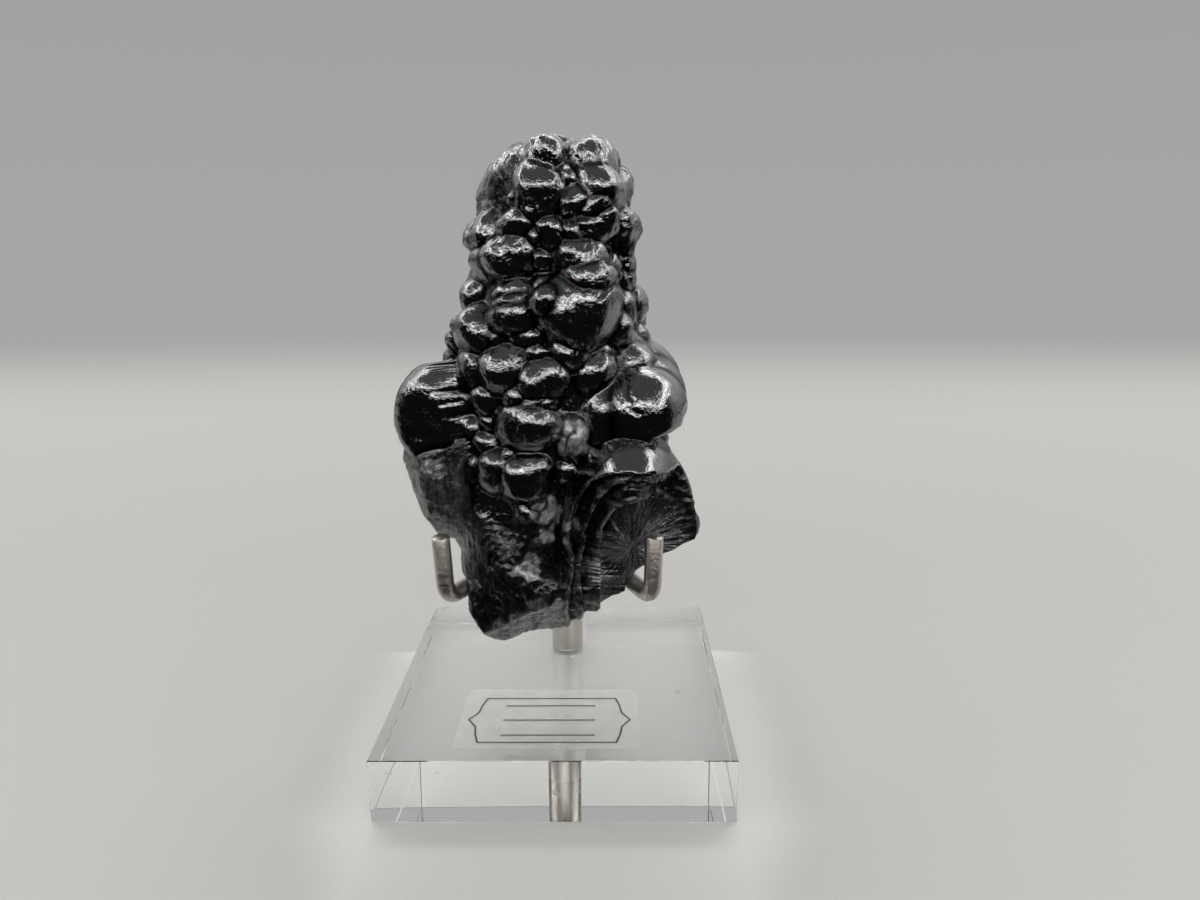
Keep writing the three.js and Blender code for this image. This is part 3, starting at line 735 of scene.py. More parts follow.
def stone_relief(p, broken, fan, calm, crack):
    """Fine relief: soft dents on the lumps, layered ledges on breaks, fibres inside the arches."""
    x, y, z = p.T
    rougher = 1 + HEAD_ROUGHER * smooth((z - 94) / 6) + REAR_ROUGHER * smooth((y + 7) / 5)
    dents = (pattern(p, DENTS) + pattern(p, PITS)) * (1 - CALM_SHARE * calm) * rougher
    dents = dents - CRACK_DEEP * crack
    dents = dents + smooth((z - 108) / 4) * (x < 4) * pattern(p, HEAD_CRINKLE)
    flank = smooth((-15.5 - x) / 3) * (z < 79)
    dents = dents + flank * pattern(p * [0.45, 0.7, 1.3], FLANK_RIPPLE)
    ledge = LEDGE_HIGH + LEDGE_REAR * smooth((y + 9) / 4)
    ledges = ledge * (1 - 2 * np.abs(noise(p * [0.9, 0.8, 0.8], LEDGE_SIZE)))
    ledges = ledges + arch_steps(p) + CHIP_HIGH * (1 - 2 * np.abs(noise(p, CHIP_SIZE)))
    dx, dz = x - ARCH_X, z - ARCH_Z
    spokes = np.stack([5.0 * np.arctan2(dz, dx), 0.12 * np.hypot(dx, dz), 0.1 * y], -1)
    fibres = FIBRE_HIGH * noise(spokes, 0.9)
    return dents * (1 - broken) + (ledges * (1 - 0.8 * fan) + fibres * fan) * broken


def pale_and_reflection_mask(p):
    """One on the paler patches, less on the underside's front bevel, a painted reflection of the floor,
    and on the left flank; ragged.
    """
    ragged = 1.2 * noise(p, 1.6)
    mask = BEVEL_REFLECTION * smooth(1.2 + above(p, FRONT_BEVEL) + ragged)
    flank = smooth((-14.5 - p[:, 0]) / 2) * smooth((61.5 - p[:, 2] + ragged) / 1.5)
    mask = np.maximum(mask, FLANK_PALE * flank)
    for x, z, r in PALE_PATCHES:
        out = np.hypot(p[:, 0] - x, p[:, 2] - z) - r
        mask = np.maximum(mask, smooth(-out - ragged) * (p[:, 1] < FRONT_ONLY))
    return mask


def stone_grid():
    """Grid of points on the stone, with masks for breaks, painted shade in creases and dark cracks, paler
    patches with painted reflections and highlights, and fibres.
    """
    origin, way = stone_rays()
    parts = []
    for rows in np.array_split(np.arange(STONE_ROWS + 1), ROW_GROUPS):
        z = origin[rows, 0, 2]
        near = LUMPS[(LUMPS[:, 2] > z.min() - NEAR) & (LUMPS[:, 2] < z.max() + NEAR)]
        found = walk_in(origin[rows].reshape(-1, 3), way[rows].reshape(-1, 3), near)
        parts.append((found, *stone(found, near, marks=True)))
    flat, torn, between, calm = (np.concatenate(part) for part in zip(*parts))
    low = BROKEN_BELOW - flat[:, 2] + BROKEN_WANDER * noise(flat, BROKEN_PATCH)
    broken = np.maximum(torn, smooth(low / BROKEN_FADE))
    fan = fan_mask(flat) * broken
    # Paler patches with painted reflections of the floor and wall, and a painted highlight along the
    # arches' broken edges.
    pale_and_painted_light = np.maximum(pale_and_reflection_mask(flat), RIM_HIGHLIGHT * rim_highlight_mask(flat) * broken)
    crack = crack_depth(flat)
    forward = smooth((CREASE_BACK - flat[:, 1]) / CREASE_FADE)
    # Painted shade in the creases between lumps on the front, joined with the dark cracks.
    crease_shade_and_cracks = np.maximum((1 - smooth(between / CREASE_WIDE)) * (1 - broken) * forward, crack)
    relief = stone_relief(flat, broken, fan, calm, crack).reshape(origin.shape[:2])

    points = flat.reshape(origin.shape)
    near_pole = np.clip(np.abs(way[..., 2:]) * 4 - 3, 0, 1)
    facing = grid_slopes(points) * (1 - near_pole) + way * near_pole
    facing /= length(facing)[..., None]
    points = points + facing * relief[..., None]
    points[..., 2] = np.minimum(points[..., 2], cad_box[1][2] / MM - TOP_ROOM)
    masks = {"broken": broken, "crease_shade_and_cracks": crease_shade_and_cracks, "pale_and_painted_light": pale_and_painted_light, "fan": fan, "calm": calm}
    return points, {name: mask.reshape(relief.shape) for name, mask in masks.items()}


# -------- meshes


def new_object(name, points, faces):
    """A mesh object at the origin from points in millimetres and a list of face arrays."""
    mesh = bpy.data.meshes.new(name)
    rows = [row for part in faces for row in part.tolist()]
    mesh.from_pydata((np.asarray(points) * MM).tolist(), [], rows)
    mesh.update()
    made = bpy.data.objects.new(name, mesh)
    bpy.context.scene.collection.objects.link(made)
    return made


def grid_faces(rows, columns, closed_rows=False):
    """Squares between neighbouring rows of a grid whose columns close round."""
    i = np.arange(rows if closed_rows else rows - 1)[:, None]
    j = np.arange(columns)[None, :]
    here, over = i * columns, ((i + 1) % rows) * columns
    after = (j + 1) % columns
    return np.stack([here + j, here + after, over + after, over + j], -1).reshape(-1, 4)


def closed_grid(name, rings, low, high):
    """Rings of points joined into a skin, closed by a fan to one point at each end."""
    rings = np.asarray(rings, float)
    rows, columns, _ = rings.shape
    points = np.concatenate([rings.reshape(-1, 3), [low], [high]])
    j = np.arange(columns)
    after = (j + 1) % columns
    last = (rows - 1) * columns
    bottom = np.stack([np.full(columns, rows * columns), after, j], -1)
    top = np.stack([np.full(columns, rows * columns + 1), last + j, last + after], -1)
    return new_object(name, points, [grid_faces(rows, columns), bottom, top])


def soften(piece, degrees=180):
    """Shades a mesh smooth, but for edges sharper than an angle."""
    piece.data.shade_smooth()
    if degrees < 180:
        piece.data.set_sharp_from_angle(angle=math.radians(degrees))


def circle(count):
    """Cosines and sines of equal turns."""
    turn = np.linspace(0, 2 * math.pi, count, endpoint=False)
    return np.cos(turn), np.sin(turn)


def bent_path(corners, cuts, steps):
    """Straight runs joined by parabolic bends that start a cut's length from each corner."""
    corners = np.array(corners, float)
    t = np.linspace(0, 1, steps)[:, None]
    parts = [corners[:1]]
    for before, here, after, cut in zip(corners, corners[1:], corners[2:], cuts):
        start = here + (before - here) / np.linalg.norm(before - here) * cut
        end = here + (after - here) / np.linalg.norm(after - here) * cut
        parts.append((1 - t) ** 2 * start + 2 * t * (1 - t) * here + t**2 * end)
    parts.append(corners[-1:])
    return np.concatenate(parts)


def rod(name, path, radius, chamfer, sides=32):
    """A circle carried along a path, square to it, with a small chamfer at each end."""
    tangent = np.gradient(path, axis=0)
    tangent[0], tangent[-1] = path[1] - path[0], path[-1] - path[-2]
    tangent /= length(tangent)[:, None]
    first, last = tangent[0], tangent[-1]
    path = np.concatenate([path[:1], path[:1] + first * chamfer, path[1:-1],
                           path[-1:] - last * chamfer, path[-1:]])
    tangent = np.concatenate([[first], tangent, [last]])
    size = np.full(len(path), radius)
    size[[0, -1]] -= chamfer
    across = np.cross(tangent, [1.0, 0.0, 0.0])
    across /= length(across)[:, None]
    beside = np.cross(tangent, across)
    c, s = circle(sides)
    ring = across[:, None] * c[None, :, None] + beside[:, None] * s[None, :, None]
    rings = path[:, None] + ring * size[:, None, None]
    made = closed_grid(name, rings, path[0], path[-1])
    soften(made, 50)
    return made


def turned(name, x, y, profile, sides=64):
    """A profile of (radius, height) pairs turned about an upright axis."""
    c, s = circle(sides)
    rings = [np.stack([x + r * c, y + r * s, np.full(sides, z)], -1) for r, z in profile]
    low, high = (x, y, profile[0][1]), (x, y, profile[-1][1])
    made = closed_grid(name, rings, low, high)
    soften(made, 35)
    return made


def at_height(outline, z):
    """A flat outline raised to a height."""
    return np.concatenate([outline, np.full((len(outline), 1), z)], 1)


def rounded_square(half, corner, per_side=12, per_corner=6):
    """Outline of a square with rounded corners, counterclockwise, starting on the right."""
    quarter = np.linspace(0, math.pi / 2, per_corner)
    side = np.linspace(-1, 1, per_side + 2)[1:-1] * (half - corner)
    right = np.stack([np.full(per_side, half), side], -1)
    turn = (half - corner) + corner * np.stack([np.cos(quarter), np.sin(quarter)], -1)
    one = np.concatenate([right, turn])
    parts = [one]
    for _ in range(3):
        one = np.stack([-one[:, 1], one[:, 0]], -1)
        parts.append(one)
    return np.concatenate(parts)


def block_mesh():
    """Square outline carried down the outside, and a circle down the hole, joined over the top."""
    outline = rounded_square(BLOCK / 2, CORNER)
    toward = outline - [POST_X, POST_Y]
    hole = [POST_X, POST_Y] + HOLE_R * toward / length(toward)[:, None]
    shrink = (BLOCK / 2 - EDGE) / (BLOCK / 2)
    rings = [
        at_height(outline * shrink, 0.0),
        at_height(outline, EDGE),
        at_height(outline, BLOCK_HIGH - EDGE),
        at_height(outline * shrink, BLOCK_HIGH),
        at_height(hole, BLOCK_HIGH),
        at_height(hole, POST_LOW),
    ]
    made = closed_grid("clear_block", rings, (0, 0, 0.0), (POST_X, POST_Y, POST_LOW))
    soften(made, 20)
    return made


def plate(name, outline, low, high):
    """A flat outline given a thickness."""
    middle = outline.mean(0)
    rings = [at_height(outline, low), at_height(outline, high)]
    made = closed_grid(name, rings, (*middle, low), (*middle, high))
    soften(made, 30)
    return made


def rectangle(x, y, wide, deep, corner, per_corner=6):
    """Outline of a rectangle with rounded corners, counterclockwise."""
    quarter = np.linspace(0, math.pi / 2, per_corner)
    parts = []
    for k, (sx, sy) in enumerate([(1, 1), (-1, 1), (-1, -1), (1, -1)]):
        turn = quarter + k * math.pi / 2
        at = np.array([x + sx * (wide / 2 - corner), y + sy * (deep / 2 - corner)])
        parts.append(at + corner * np.stack([np.cos(turn), np.sin(turn)], -1))
    return np.concatenate(parts)


# -------- node helpers


def feed(tree, node, inputs):
    """Gives a node its inputs, as links from sockets or as plain values."""
    for key, value in inputs.items():
        if isinstance(value, bpy.types.NodeSocket):
            tree.links.new(value, node.inputs[key])
        else:
            node.inputs[key].default_value = value


def add(tree, kind, inputs=None, **settings):
    """Adds one node with its settings and inputs."""
    made = tree.nodes.new(kind)
    for key, value in settings.items():
        setattr(made, key, value)
    feed(tree, made, inputs or {})
    return made


def math_node(tree, operation, *values):
    """One sum on numbers or sockets."""
    return add(tree, "ShaderNodeMath", dict(enumerate(values)), operation=operation).outputs[0]


def plus(tree, a, b):
    """The sum of two."""
    return math_node(tree, "ADD", a, b)


def times(tree, a, b):
    """The product of two."""
    return math_node(tree, "MULTIPLY", a, b)


def remap(tree, value, low, high, to_low, to_high):
    """Carries low to high over to new ends, smoothly, and stays at the ends beyond them."""
    inputs = {"Value": value, "From Min": low, "From Max": high, "To Min": to_low, "To Max": to_high}
    return add(tree, "ShaderNodeMapRange", inputs, interpolation_type="SMOOTHSTEP").outputs[0]


def mix(tree, factor, a, b):
    """Number a where the factor is 0, b where it is 1."""
    return add(tree, "ShaderNodeMix", {"Factor": factor, "A": a, "B": b}, data_type="FLOAT").outputs[0]


def mix_colour(tree, factor, a, b):
    """Colour a where the factor is 0, b where it is 1."""
    return add(tree, "ShaderNodeMix", {0: factor, 6: a, 7: b}, data_type="RGBA").outputs[2]


def noise_node(tree, vector, scale, detail, roughness=0.5, distortion=0.0):
    """Noise from 0 to 1, scale cells to the metre."""
    inputs = {"Vector": vector, "Scale": scale, "Detail": detail, "Roughness": roughness,
              "Distortion": distortion}
    return add(tree, "ShaderNodeTexNoise", inputs).outputs["Fac"]


def new_group(name, inputs, outputs):
    """An empty shader group with named number or vector sockets."""
    group = bpy.data.node_groups.new(name, "ShaderNodeTree")
    for label, kind, value in inputs:
        socket = group.interface.new_socket(label, in_out="INPUT", socket_type=kind)
        if value is not None:
            socket.default_value = value
    for label in outputs:
        group.interface.new_socket(label, in_out="OUTPUT", socket_type="NodeSocketFloat")
    inside = group.nodes.new("NodeGroupInput").outputs
    outside = group.nodes.new("NodeGroupOutput").inputs
    return group, inside, outside


VECTOR = ("Vector", "NodeSocketVector", None)
FLOAT = "NodeSocketFloat"


def ripple_group():
    """Uneven skin: fine noise, bent by a slower one, in height units of one."""
    group, inside, outside = new_group(
        "uneven_skin", [VECTOR, ("Scale", FLOAT, 900.0), ("Bend", FLOAT, 0.4)], ["Height"])
    height = noise_node(group, inside["Vector"], inside["Scale"], 3.0, 0.5, inside["Bend"])
    group.links.new(height, outside["Height"])
    return group


def speck_group():
    """Scattered specks of dust: small discs in some of the cells of a Voronoi pattern."""
    group, inside, outside = new_group(
        "dust_specks", [VECTOR, ("Scale", FLOAT, 500.0), ("Amount", FLOAT, 0.1)], ["Mask"])
    inputs = {"Vector": inside["Vector"], "Scale": inside["Scale"], "Randomness": 1.0}
    cells = add(group, "ShaderNodeTexVoronoi", inputs).outputs
    pick = add(group, "ShaderNodeSeparateColor", {0: cells["Color"]}).outputs[0]
    chosen = math_node(group, "LESS_THAN", pick, inside["Amount"])
    disc = remap(group, cells["Distance"], 0.1, 0.25, 1.0, 0.0)
    group.links.new(times(group, chosen, disc), outside["Mask"])
    return group


def scratch_group():
    """Fine scratches: noise drawn out along one axis and cut to thin bright lines."""
    group, inside, outside = new_group(
        "fine_scratches", [VECTOR, ("Scale", FLOAT, 300.0), ("Width", FLOAT, 0.04)], ["Mask"])
    lines = noise_node(group, inside["Vector"], inside["Scale"], 2.0, 0.6, 0.2)
    off = math_node(group, "ABSOLUTE", math_node(group, "SUBTRACT", lines, 0.5))
    thin = math_node(group, "DIVIDE", off, inside["Width"])
    mask = remap(group, thin, 0.0, 1.0, 1.0, 0.0)
    group.links.new(mask, outside["Mask"])
    return group


def use(tree, group, **inputs):
    """Places a group with its own values and gives its output."""
    return add(tree, "ShaderNodeGroup", inputs, node_tree=group).outputs[0]


SKIN = ripple_group()
SPECKS = speck_group()
SCRATCHES = scratch_group()


def new_material(name, **constants):
    """A Principled material with its even values set on the shader's own sockets."""
    material = bpy.data.materials.new(name)
    material.use_nodes = True
    tree = material.node_tree
    shader = tree.nodes["Principled BSDF"]
    feed(tree, shader, {key.replace("_", " "): value for key, value in constants.items()})
    where = add(tree, "ShaderNodeTexCoord").outputs["Object"]
    return material, tree, shader, where


def stretch(tree, vector, scale):
    """The vector scaled along each axis."""
    return add(tree, "ShaderNodeMapping", {"Vector": vector, "Scale": scale}).outputs[0]


def bump(tree, shader, height, distance):
    """Feeds a height to the shader's normal."""
    made = add(tree, "ShaderNodeBump", {"Height": height, "Distance": distance, "Strength": 1.0})
    feed(tree, shader, {"Normal": made.outputs[0]})


# -------- materials

SKIN_DARK = (0.17, 0.174, 0.182, 1)
SKIN_LIGHT = (0.25, 0.254, 0.262, 1)
BREAK_DARK = (0.025, 0.026, 0.028, 1)
BREAK_LIGHT = (0.085, 0.087, 0.092, 1)
FIBRE_LIGHT = (0.3, 0.31, 0.325, 1)
# Paler patches, partly a painted reflection of the floor and wall and a painted highlight along broken
# edges.
PALE_DARK = (0.12, 0.122, 0.125, 1)
PALE_LIGHT = (0.5, 0.505, 0.505, 1)
# Near-black painted shade for the creases between lumps, also used for the dark cracks.
CREASE_SHADE_AND_CRACK_BLACK = (0.012, 0.012, 0.012, 1)
RUST = (0.1, 0.05, 0.028, 1)
DUST = (0.5, 0.5, 0.48, 1)
STEEL_DARK = (0.5, 0.465, 0.42, 1)
STEEL_LIGHT = (0.66, 0.625, 0.58, 1)
STEEL_SCRATCH = (0.32, 0.3, 0.28, 1)
CLEAR = (0.975, 0.985, 0.985, 1)
FILM = (0.85, 0.85, 0.82, 1)
INK_DARK = (0.03, 0.035, 0.035, 1)
INK_LIGHT = (0.1, 0.105, 0.105, 1)
# Cells to the metre along the fibres, against the turns across them.
FIBRE_ALONG = 9.0
ACRYLIC_BENDS = 1.49
# Roughness of the skin at its finest and dullest, of the calm skin, of breaks and pale patches.
SKIN_FINE = 0.03
SKIN_DULL = 0.16
CALM_DULL = 0.06
BREAK_ROUGH = 0.2
PALE_ROUGH = 0.4
BREAK_METAL = 0.95
PALE_METAL = 0.5
# Heights of the bumps, in millimetres.
CRINKLE_BUMP = 0.075
WAVE_BUMP = 0.12
GRAIN_BUMP = 0.3
GRIT_BUMP = 0.03
SCRATCH_BUMP = 0.012
FILM_THIN = 0.06
FILM_THICK = 0.13


def fibre_group():
    """Fibres that fan out from the middle of the arches: noise over the angle, drawn out along it."""
    group, inside, outside = new_group("fanned_fibres", [VECTOR, ("Scale", FLOAT, 26.0)], ["Height"])
    axes = add(group, "ShaderNodeSeparateXYZ", {0: inside["Vector"]}).outputs
    dx = math_node(group, "SUBTRACT", axes["X"], ARCH_X * MM)
    dz = math_node(group, "SUBTRACT", axes["Z"], ARCH_Z * MM)
    turn = math_node(group, "ARCTAN2", dz, dx)
    squares = times(group, dx, dx), times(group, dz, dz)
    out = math_node(group, "SQRT", plus(group, *squares))
    along = [times(group, value, FIBRE_ALONG) for value in (out, axes["Y"])]
    spread = add(group, "ShaderNodeCombineXYZ", {0: turn, 1: along[0], 2: along[1]})
    group.links.new(noise_node(group, spread.outputs[0], inside["Scale"], 3.0, 0.6), outside["Height"])
    return group


FIBRES = fibre_group()


def mark(tree, name):
    """A mask stored on the stone's points."""
    return add(tree, "ShaderNodeAttribute", attribute_name=name).outputs["Fac"]


def hematite_material():
    """Black metallic lumps with a crinkled polish, painted shade in the creases and dark cracks; duller
    breaks; paler patches with painted reflections and highlights; a little rust.
    """
    material, tree, shader, where = new_material("hematite")
    broken, crease_shade_and_cracks, pale_and_painted_light, fan, calm = (
        mark(tree, name) for name in ("broken", "crease_shade_and_cracks", "pale_and_painted_light", "fan", "calm"))
    cloud = noise_node(tree, where, 160.0, 3.0)
    streak = noise_node(tree, stretch(tree, where, (1.0, 1.0, 0.45)), 1500.0, 3.0, 0.6)
    dust = use(tree, SPECKS, Vector=where, Scale=900.0, Amount=0.05)

    skin = mix_colour(tree, cloud, SKIN_DARK, SKIN_LIGHT)
    grain = noise_node(tree, stretch(tree, where, (1.15, 1.0, 0.8)), 850.0, 4.0, 0.6)
    fibres = use(tree, FIBRES, Vector=where)
    grain = mix(tree, fan, grain, fibres)
    rise = remap(tree, grain, 0.35, 0.65, 0.0, 1.0)
    bright = mix_colour(tree, fan, BREAK_LIGHT, FIBRE_LIGHT)
    dull = mix_colour(tree, rise, BREAK_DARK, bright)
    light = mix_colour(tree, rise, PALE_DARK, PALE_LIGHT)
    colour = mix_colour(tree, broken, skin, dull)
    # Paler patches, partly painted reflection and painted highlight.
    colour = mix_colour(tree, pale_and_painted_light, colour, light)
    # Painted shade in the creases and the dark cracks, with a little rust along them.
    colour = mix_colour(tree, crease_shade_and_cracks, colour, CREASE_SHADE_AND_CRACK_BLACK)
    rust = remap(tree, noise_node(tree, where, 240.0, 2.0), 0.6, 0.72, 0.0, 0.6)
    colour = mix_colour(tree, times(tree, rust, crease_shade_and_cracks), colour, RUST)
    colour = mix_colour(tree, times(tree, dust, 0.5), colour, DUST)
    metal = mix(tree, pale_and_painted_light, mix(tree, broken, 1.0, BREAK_METAL), PALE_METAL)

    polish = remap(tree, streak, 0.38, 0.66, SKIN_FINE, mix(tree, calm, SKIN_DULL, CALM_DULL))
    rough = mix(tree, broken, polish, BREAK_ROUGH)
    rough = mix(tree, pale_and_painted_light, rough, PALE_ROUGH)
    rough = plus(tree, rough, times(tree, dust, 0.3))
    feed(tree, shader, {"Base Color": colour, "Metallic": metal, "Roughness": rough})

    fine = use(tree, SKIN, Vector=where, Scale=2000.0, Bend=1.0)
    soft = use(tree, SKIN, Vector=where, Scale=520.0, Bend=0.5)
    ripple = plus(tree, times(tree, fine, CRINKLE_BUMP), times(tree, soft, WAVE_BUMP))
    ripple = times(tree, ripple, mix(tree, calm, 1.0, CALM_SHARE))
    splinter = times(tree, grain, GRAIN_BUMP)
    bump(tree, shader, mix(tree, broken, ripple, splinter), MM)
    return material


def steel_material():
    """Warm grey satin steel with fine scratches round and along."""
    material, tree, shader, where = new_material("satin_steel", Metallic=1.0)
    cloud = noise_node(tree, where, 220.0, 3.0)
    marks = use(tree, SCRATCHES, Vector=stretch(tree, where, (1.0, 1.0, 9.0)), Scale=420.0, Width=0.03)
    colour = mix_colour(tree, cloud, STEEL_DARK, STEEL_LIGHT)
    colour = mix_colour(tree, times(tree, marks, 0.35), colour, STEEL_SCRATCH)
    feed(tree, shader, {"Base Color": colour, "Roughness": remap(tree, cloud, 0.3, 0.7, 0.3, 0.44)})
    grit = use(tree, SKIN, Vector=where, Scale=1400.0, Bend=0.2)
    height = math_node(tree, "SUBTRACT", times(tree, grit, GRIT_BUMP), times(tree, marks, SCRATCH_BUMP))
    bump(tree, shader, height, MM)
    return material


def acrylic_material():
    """Clear cast acrylic, polished, with a few fine scratches and specks on its faces."""
    material, tree, shader, where = new_material(
        "clear_acrylic", Base_Color=CLEAR, Transmission_Weight=1.0, IOR=ACRYLIC_BENDS)
    marks = use(tree, SCRATCHES, Vector=stretch(tree, where, (1.0, 6.0, 1.0)), Scale=90.0, Width=0.004)
    dust = use(tree, SPECKS, Vector=where, Scale=260.0, Amount=0.04)
    rough = plus(tree, times(tree, marks, 0.12), times(tree, dust, 0.4))
    feed(tree, shader, {"Roughness": plus(tree, rough, 0.015)})
    return material


def film_material():
    """Thin clear film: a faint milky veil."""
    material, tree, shader, where = new_material("label_film", Base_Color=FILM, Roughness=0.4)
    cloud = noise_node(tree, where, 120.0, 2.0)
    feed(tree, shader, {"Alpha": remap(tree, cloud, 0.3, 0.7, FILM_THIN, FILM_THICK)})
    return material


def ink_material():
    """Grey printed line, a little uneven."""
    material, tree, shader, where = new_material("printed_line", Roughness=0.55)
    grain = noise_node(tree, where, 2500.0, 3.0)
    feed(tree, shader, {"Base Color": mix_colour(tree, grain, INK_DARK, INK_LIGHT)})
    return material


# -------- pieces


def fit(piece, material, slot, *nodes):
    """Gives a piece its material and its body, and hides the solids that it stands for; the slot for its
    finish is not used.
    """
    piece.data.materials.append(material)
    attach(piece, "root")
    if nodes:
        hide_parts(*nodes)


def make_stone(material):
    """The stone's grid closed at its two poles, with a mask of each kind on its points."""
    points, masks = stone_grid()
    rings, low, high = points[1:-1], points[0, 0], points[-1, 0]
    stone_piece = closed_grid("hematite_specimen", rings, low, high)
    soften(stone_piece)
    for name, mask in masks.items():
        values = np.concatenate([mask[1:-1].ravel(), [mask[0, 0], mask[-1, 0]]]).astype(np.float32)
        layer = stone_piece.data.attributes.new(name, "FLOAT", "POINT")
        layer.data.foreach_set("value", values)
    fit(stone_piece, material, "hematite", "hematite")


def make_stand(steel, acrylic):
    """The block, the turned post, the rod bent to a V with two hooks, and the rod behind."""
    fit(block_mesh(), acrylic, "clear_acrylic", "base_block")
    r, c = POST_R, POST_CHAMFER
    profile = [(r - c, POST_LOW), (r, POST_LOW + c), (r, BLOCK_HIGH), (r, POST_TOP - c), (r - c, POST_TOP)]
    fit(turned("steel_post", POST_X, POST_Y, profile), steel, "steel", "post")
    tips = []
    for hook, lean in ((LEFT_HOOK, LEFT_TIP_OUT), (RIGHT_HOOK, RIGHT_TIP_OUT)):
        along = np.array([hook[0] - POST_X, hook[1] - POST_Y])
        along /= np.linalg.norm(along)
        tips.append((hook[0] + along[0] * lean, hook[1] + along[1] * lean, HOOK_TOP))
    corners = [tips[0], (*LEFT_HOOK, ARM_Z), (POST_X, POST_Y, ARM_Z), (*RIGHT_HOOK, ARM_Z), tips[1]]
    path = bent_path(corners, [HOOK_BEND, APEX_BEND, HOOK_BEND], ARM_STEPS)
    fit(rod("cradle_rod", path, ROD_R, ROD_CHAMFER), steel, "steel", "cradle_arms")
    corners = [(POST_X, POST_Y, BACK_ROD_FOOT), (POST_X, POST_Y, BACK_ROD_KNEE),
               (POST_X, POST_Y - BACK_ROD_LEAN, BACK_ROD_TOP)]
    path = bent_path(corners, [BACK_ROD_BEND], BACK_ROD_STEPS)
    fit(rod("back_rod", path, ROD_R, ROD_CHAMFER), steel, "steel", "back_arm")


# Half of the printed frame's outline, from the middle of the top edge to the left point.
FRAME_HALF = [(0.0, 7.5), (-12.3, 7.5), (-13.0, 5.0), (-13.35, 2.4), (-14.9, 0.0)]
FRAME_X = -1.3
FRAME_Y = -18.8
LINE = 0.34
RULE_WIDE = 17.0
RULES = [-14.0, -19.0, -24.0]


def frame_outline():
    """Straight edges above and below, and a bracket's point at the middle of each end."""
    half = np.array(FRAME_HALF)
    left = np.concatenate([half[1:], half[1:-1][::-1] * [1, -1]])
    right = (left * [-1, 1])[::-1]
    return np.concatenate([left, right]) + [FRAME_X, FRAME_Y]


def printed_frame():
    """The outline drawn as a line of even width: an outer and an inner copy joined up."""
    outline = frame_outline()
    ahead = np.roll(outline, -1, 0) - outline
    ahead /= length(ahead)[:, None]
    behind = np.roll(ahead, 1, 0)
    inward = np.stack([-(ahead + behind)[:, 1], (ahead + behind)[:, 0]], -1)
    inward /= (inward * inward).sum(-1)[:, None] / 2
    inner = outline + inward * LINE / 2
    outer = outline - inward * LINE / 2
    rings = np.array([at_height(outer, LABEL_HIGH), at_height(outer, PRINT_HIGH),
                      at_height(inner, PRINT_HIGH), at_height(inner, LABEL_HIGH)])
    faces = grid_faces(4, len(outline), closed_rows=True)
    return new_object("label_frame", rings.reshape(-1, 3), [faces])


def make_label(film, ink):
    """A film with rounded corners, its printed frame and three plain ruled lines."""
    outline = rectangle(LABEL_X, LABEL_Y, LABEL_WIDE, LABEL_DEEP, LABEL_CORNER)
    fit(plate("label_film", outline, LABEL_LOW, LABEL_HIGH), film, "label_film", "label")
    fit(printed_frame(), ink, "label_film")
    for k, y in enumerate(RULES):
        line = rectangle(FRAME_X, y, RULE_WIDE, LINE, LINE / 2.1)
        fit(plate(f"ruled_line_{k + 1}", line, LABEL_HIGH, PRINT_HIGH), ink, "label_film")


make_stone(hematite_material())
make_stand(steel_material(), acrylic_material())
make_label(film_material(), ink_material())

# -------- studio

# The floor: metres from its middle to its rim and to where it fades, and its drop in millimetres.
FLOOR_WIDE = 1.1
FLOOR_R = 0.74
FLOOR_FADE = 0.3
FLOOR_DROP = 0.05
FLOOR_SIDES = 128
# Floor colours: darker further back, a painted shade that evens out the studio's light; a cloud; painted
# light by and under the block in place of its shadow; and paler seen through the block, painted light for
# what the block gathers.
FLOOR_NEAR = (0.5, 0.5, 0.485, 1)
FLOOR_FAR = (0.45, 0.45, 0.436, 1)
FLOOR_CLOUD = (0.35, 0.35, 0.34, 1)
FLOOR_PAINTED_LIGHT_BY_BLOCK = (0.67, 0.67, 0.652, 1)
FLOOR_PAINTED_LIGHT_UNDER = (0.79, 0.79, 0.77, 1)
FLOOR_THROUGH = (0.65, 0.65, 0.635, 1)
# In the stone's reflections the floor ends at the table's front edge.
TABLE_EDGE = -0.01
TABLE_FADE = 0.03
# How far the floor is painted paler in front of the block, painted light in place of its shadow, and how
# much sooner that ends at its other sides.
UNDER_GLOW = 0.035
SOONER_BESIDE = 2.0
SOONER_BEHIND = 12.0
# Brightness of the walls for light that has passed through the clear block.
THROUGH_BLOCK = 0.43
WALL_TOP = 0.9
WALL_LEFT = 0.08
WALL_RIGHT = 0.2
OPENING_DARK = 0.013
CEILING = 0.2
BACKDROP_LOW = 0.385
BACKDROP_HIGH = 0.355
# A tilted rectangle of light, in metres: its distance, its half-sizes, the width of its strips.
LIGHT_AWAY = 0.95
LIGHT_TILT = math.radians(15.5)
LIGHT_HALF_X = 1.17
LIGHT_HALF_Y = 0.87
STRIP = 0.26
RING_RADIANCE = 6.2
LIGHT_COLOUR = (1.0, 0.985, 0.96)


def beyond_block(tree, where):
    """Distance in front of the block, plus several times the distance beside and behind it."""
    half = BLOCK * MM / 2
    axes = add(tree, "ShaderNodeSeparateXYZ", {0: where}).outputs
    past = lambda value: math_node(tree, "MAXIMUM", math_node(tree, "SUBTRACT", value, half), 0.0)
    beside = times(tree, past(math_node(tree, "ABSOLUTE", axes["X"])), SOONER_BESIDE)
    front = past(times(tree, axes["Y"], -1.0))
    behind = times(tree, past(axes["Y"]), SOONER_BEHIND)
    return plus(tree, plus(tree, front, beside), behind)


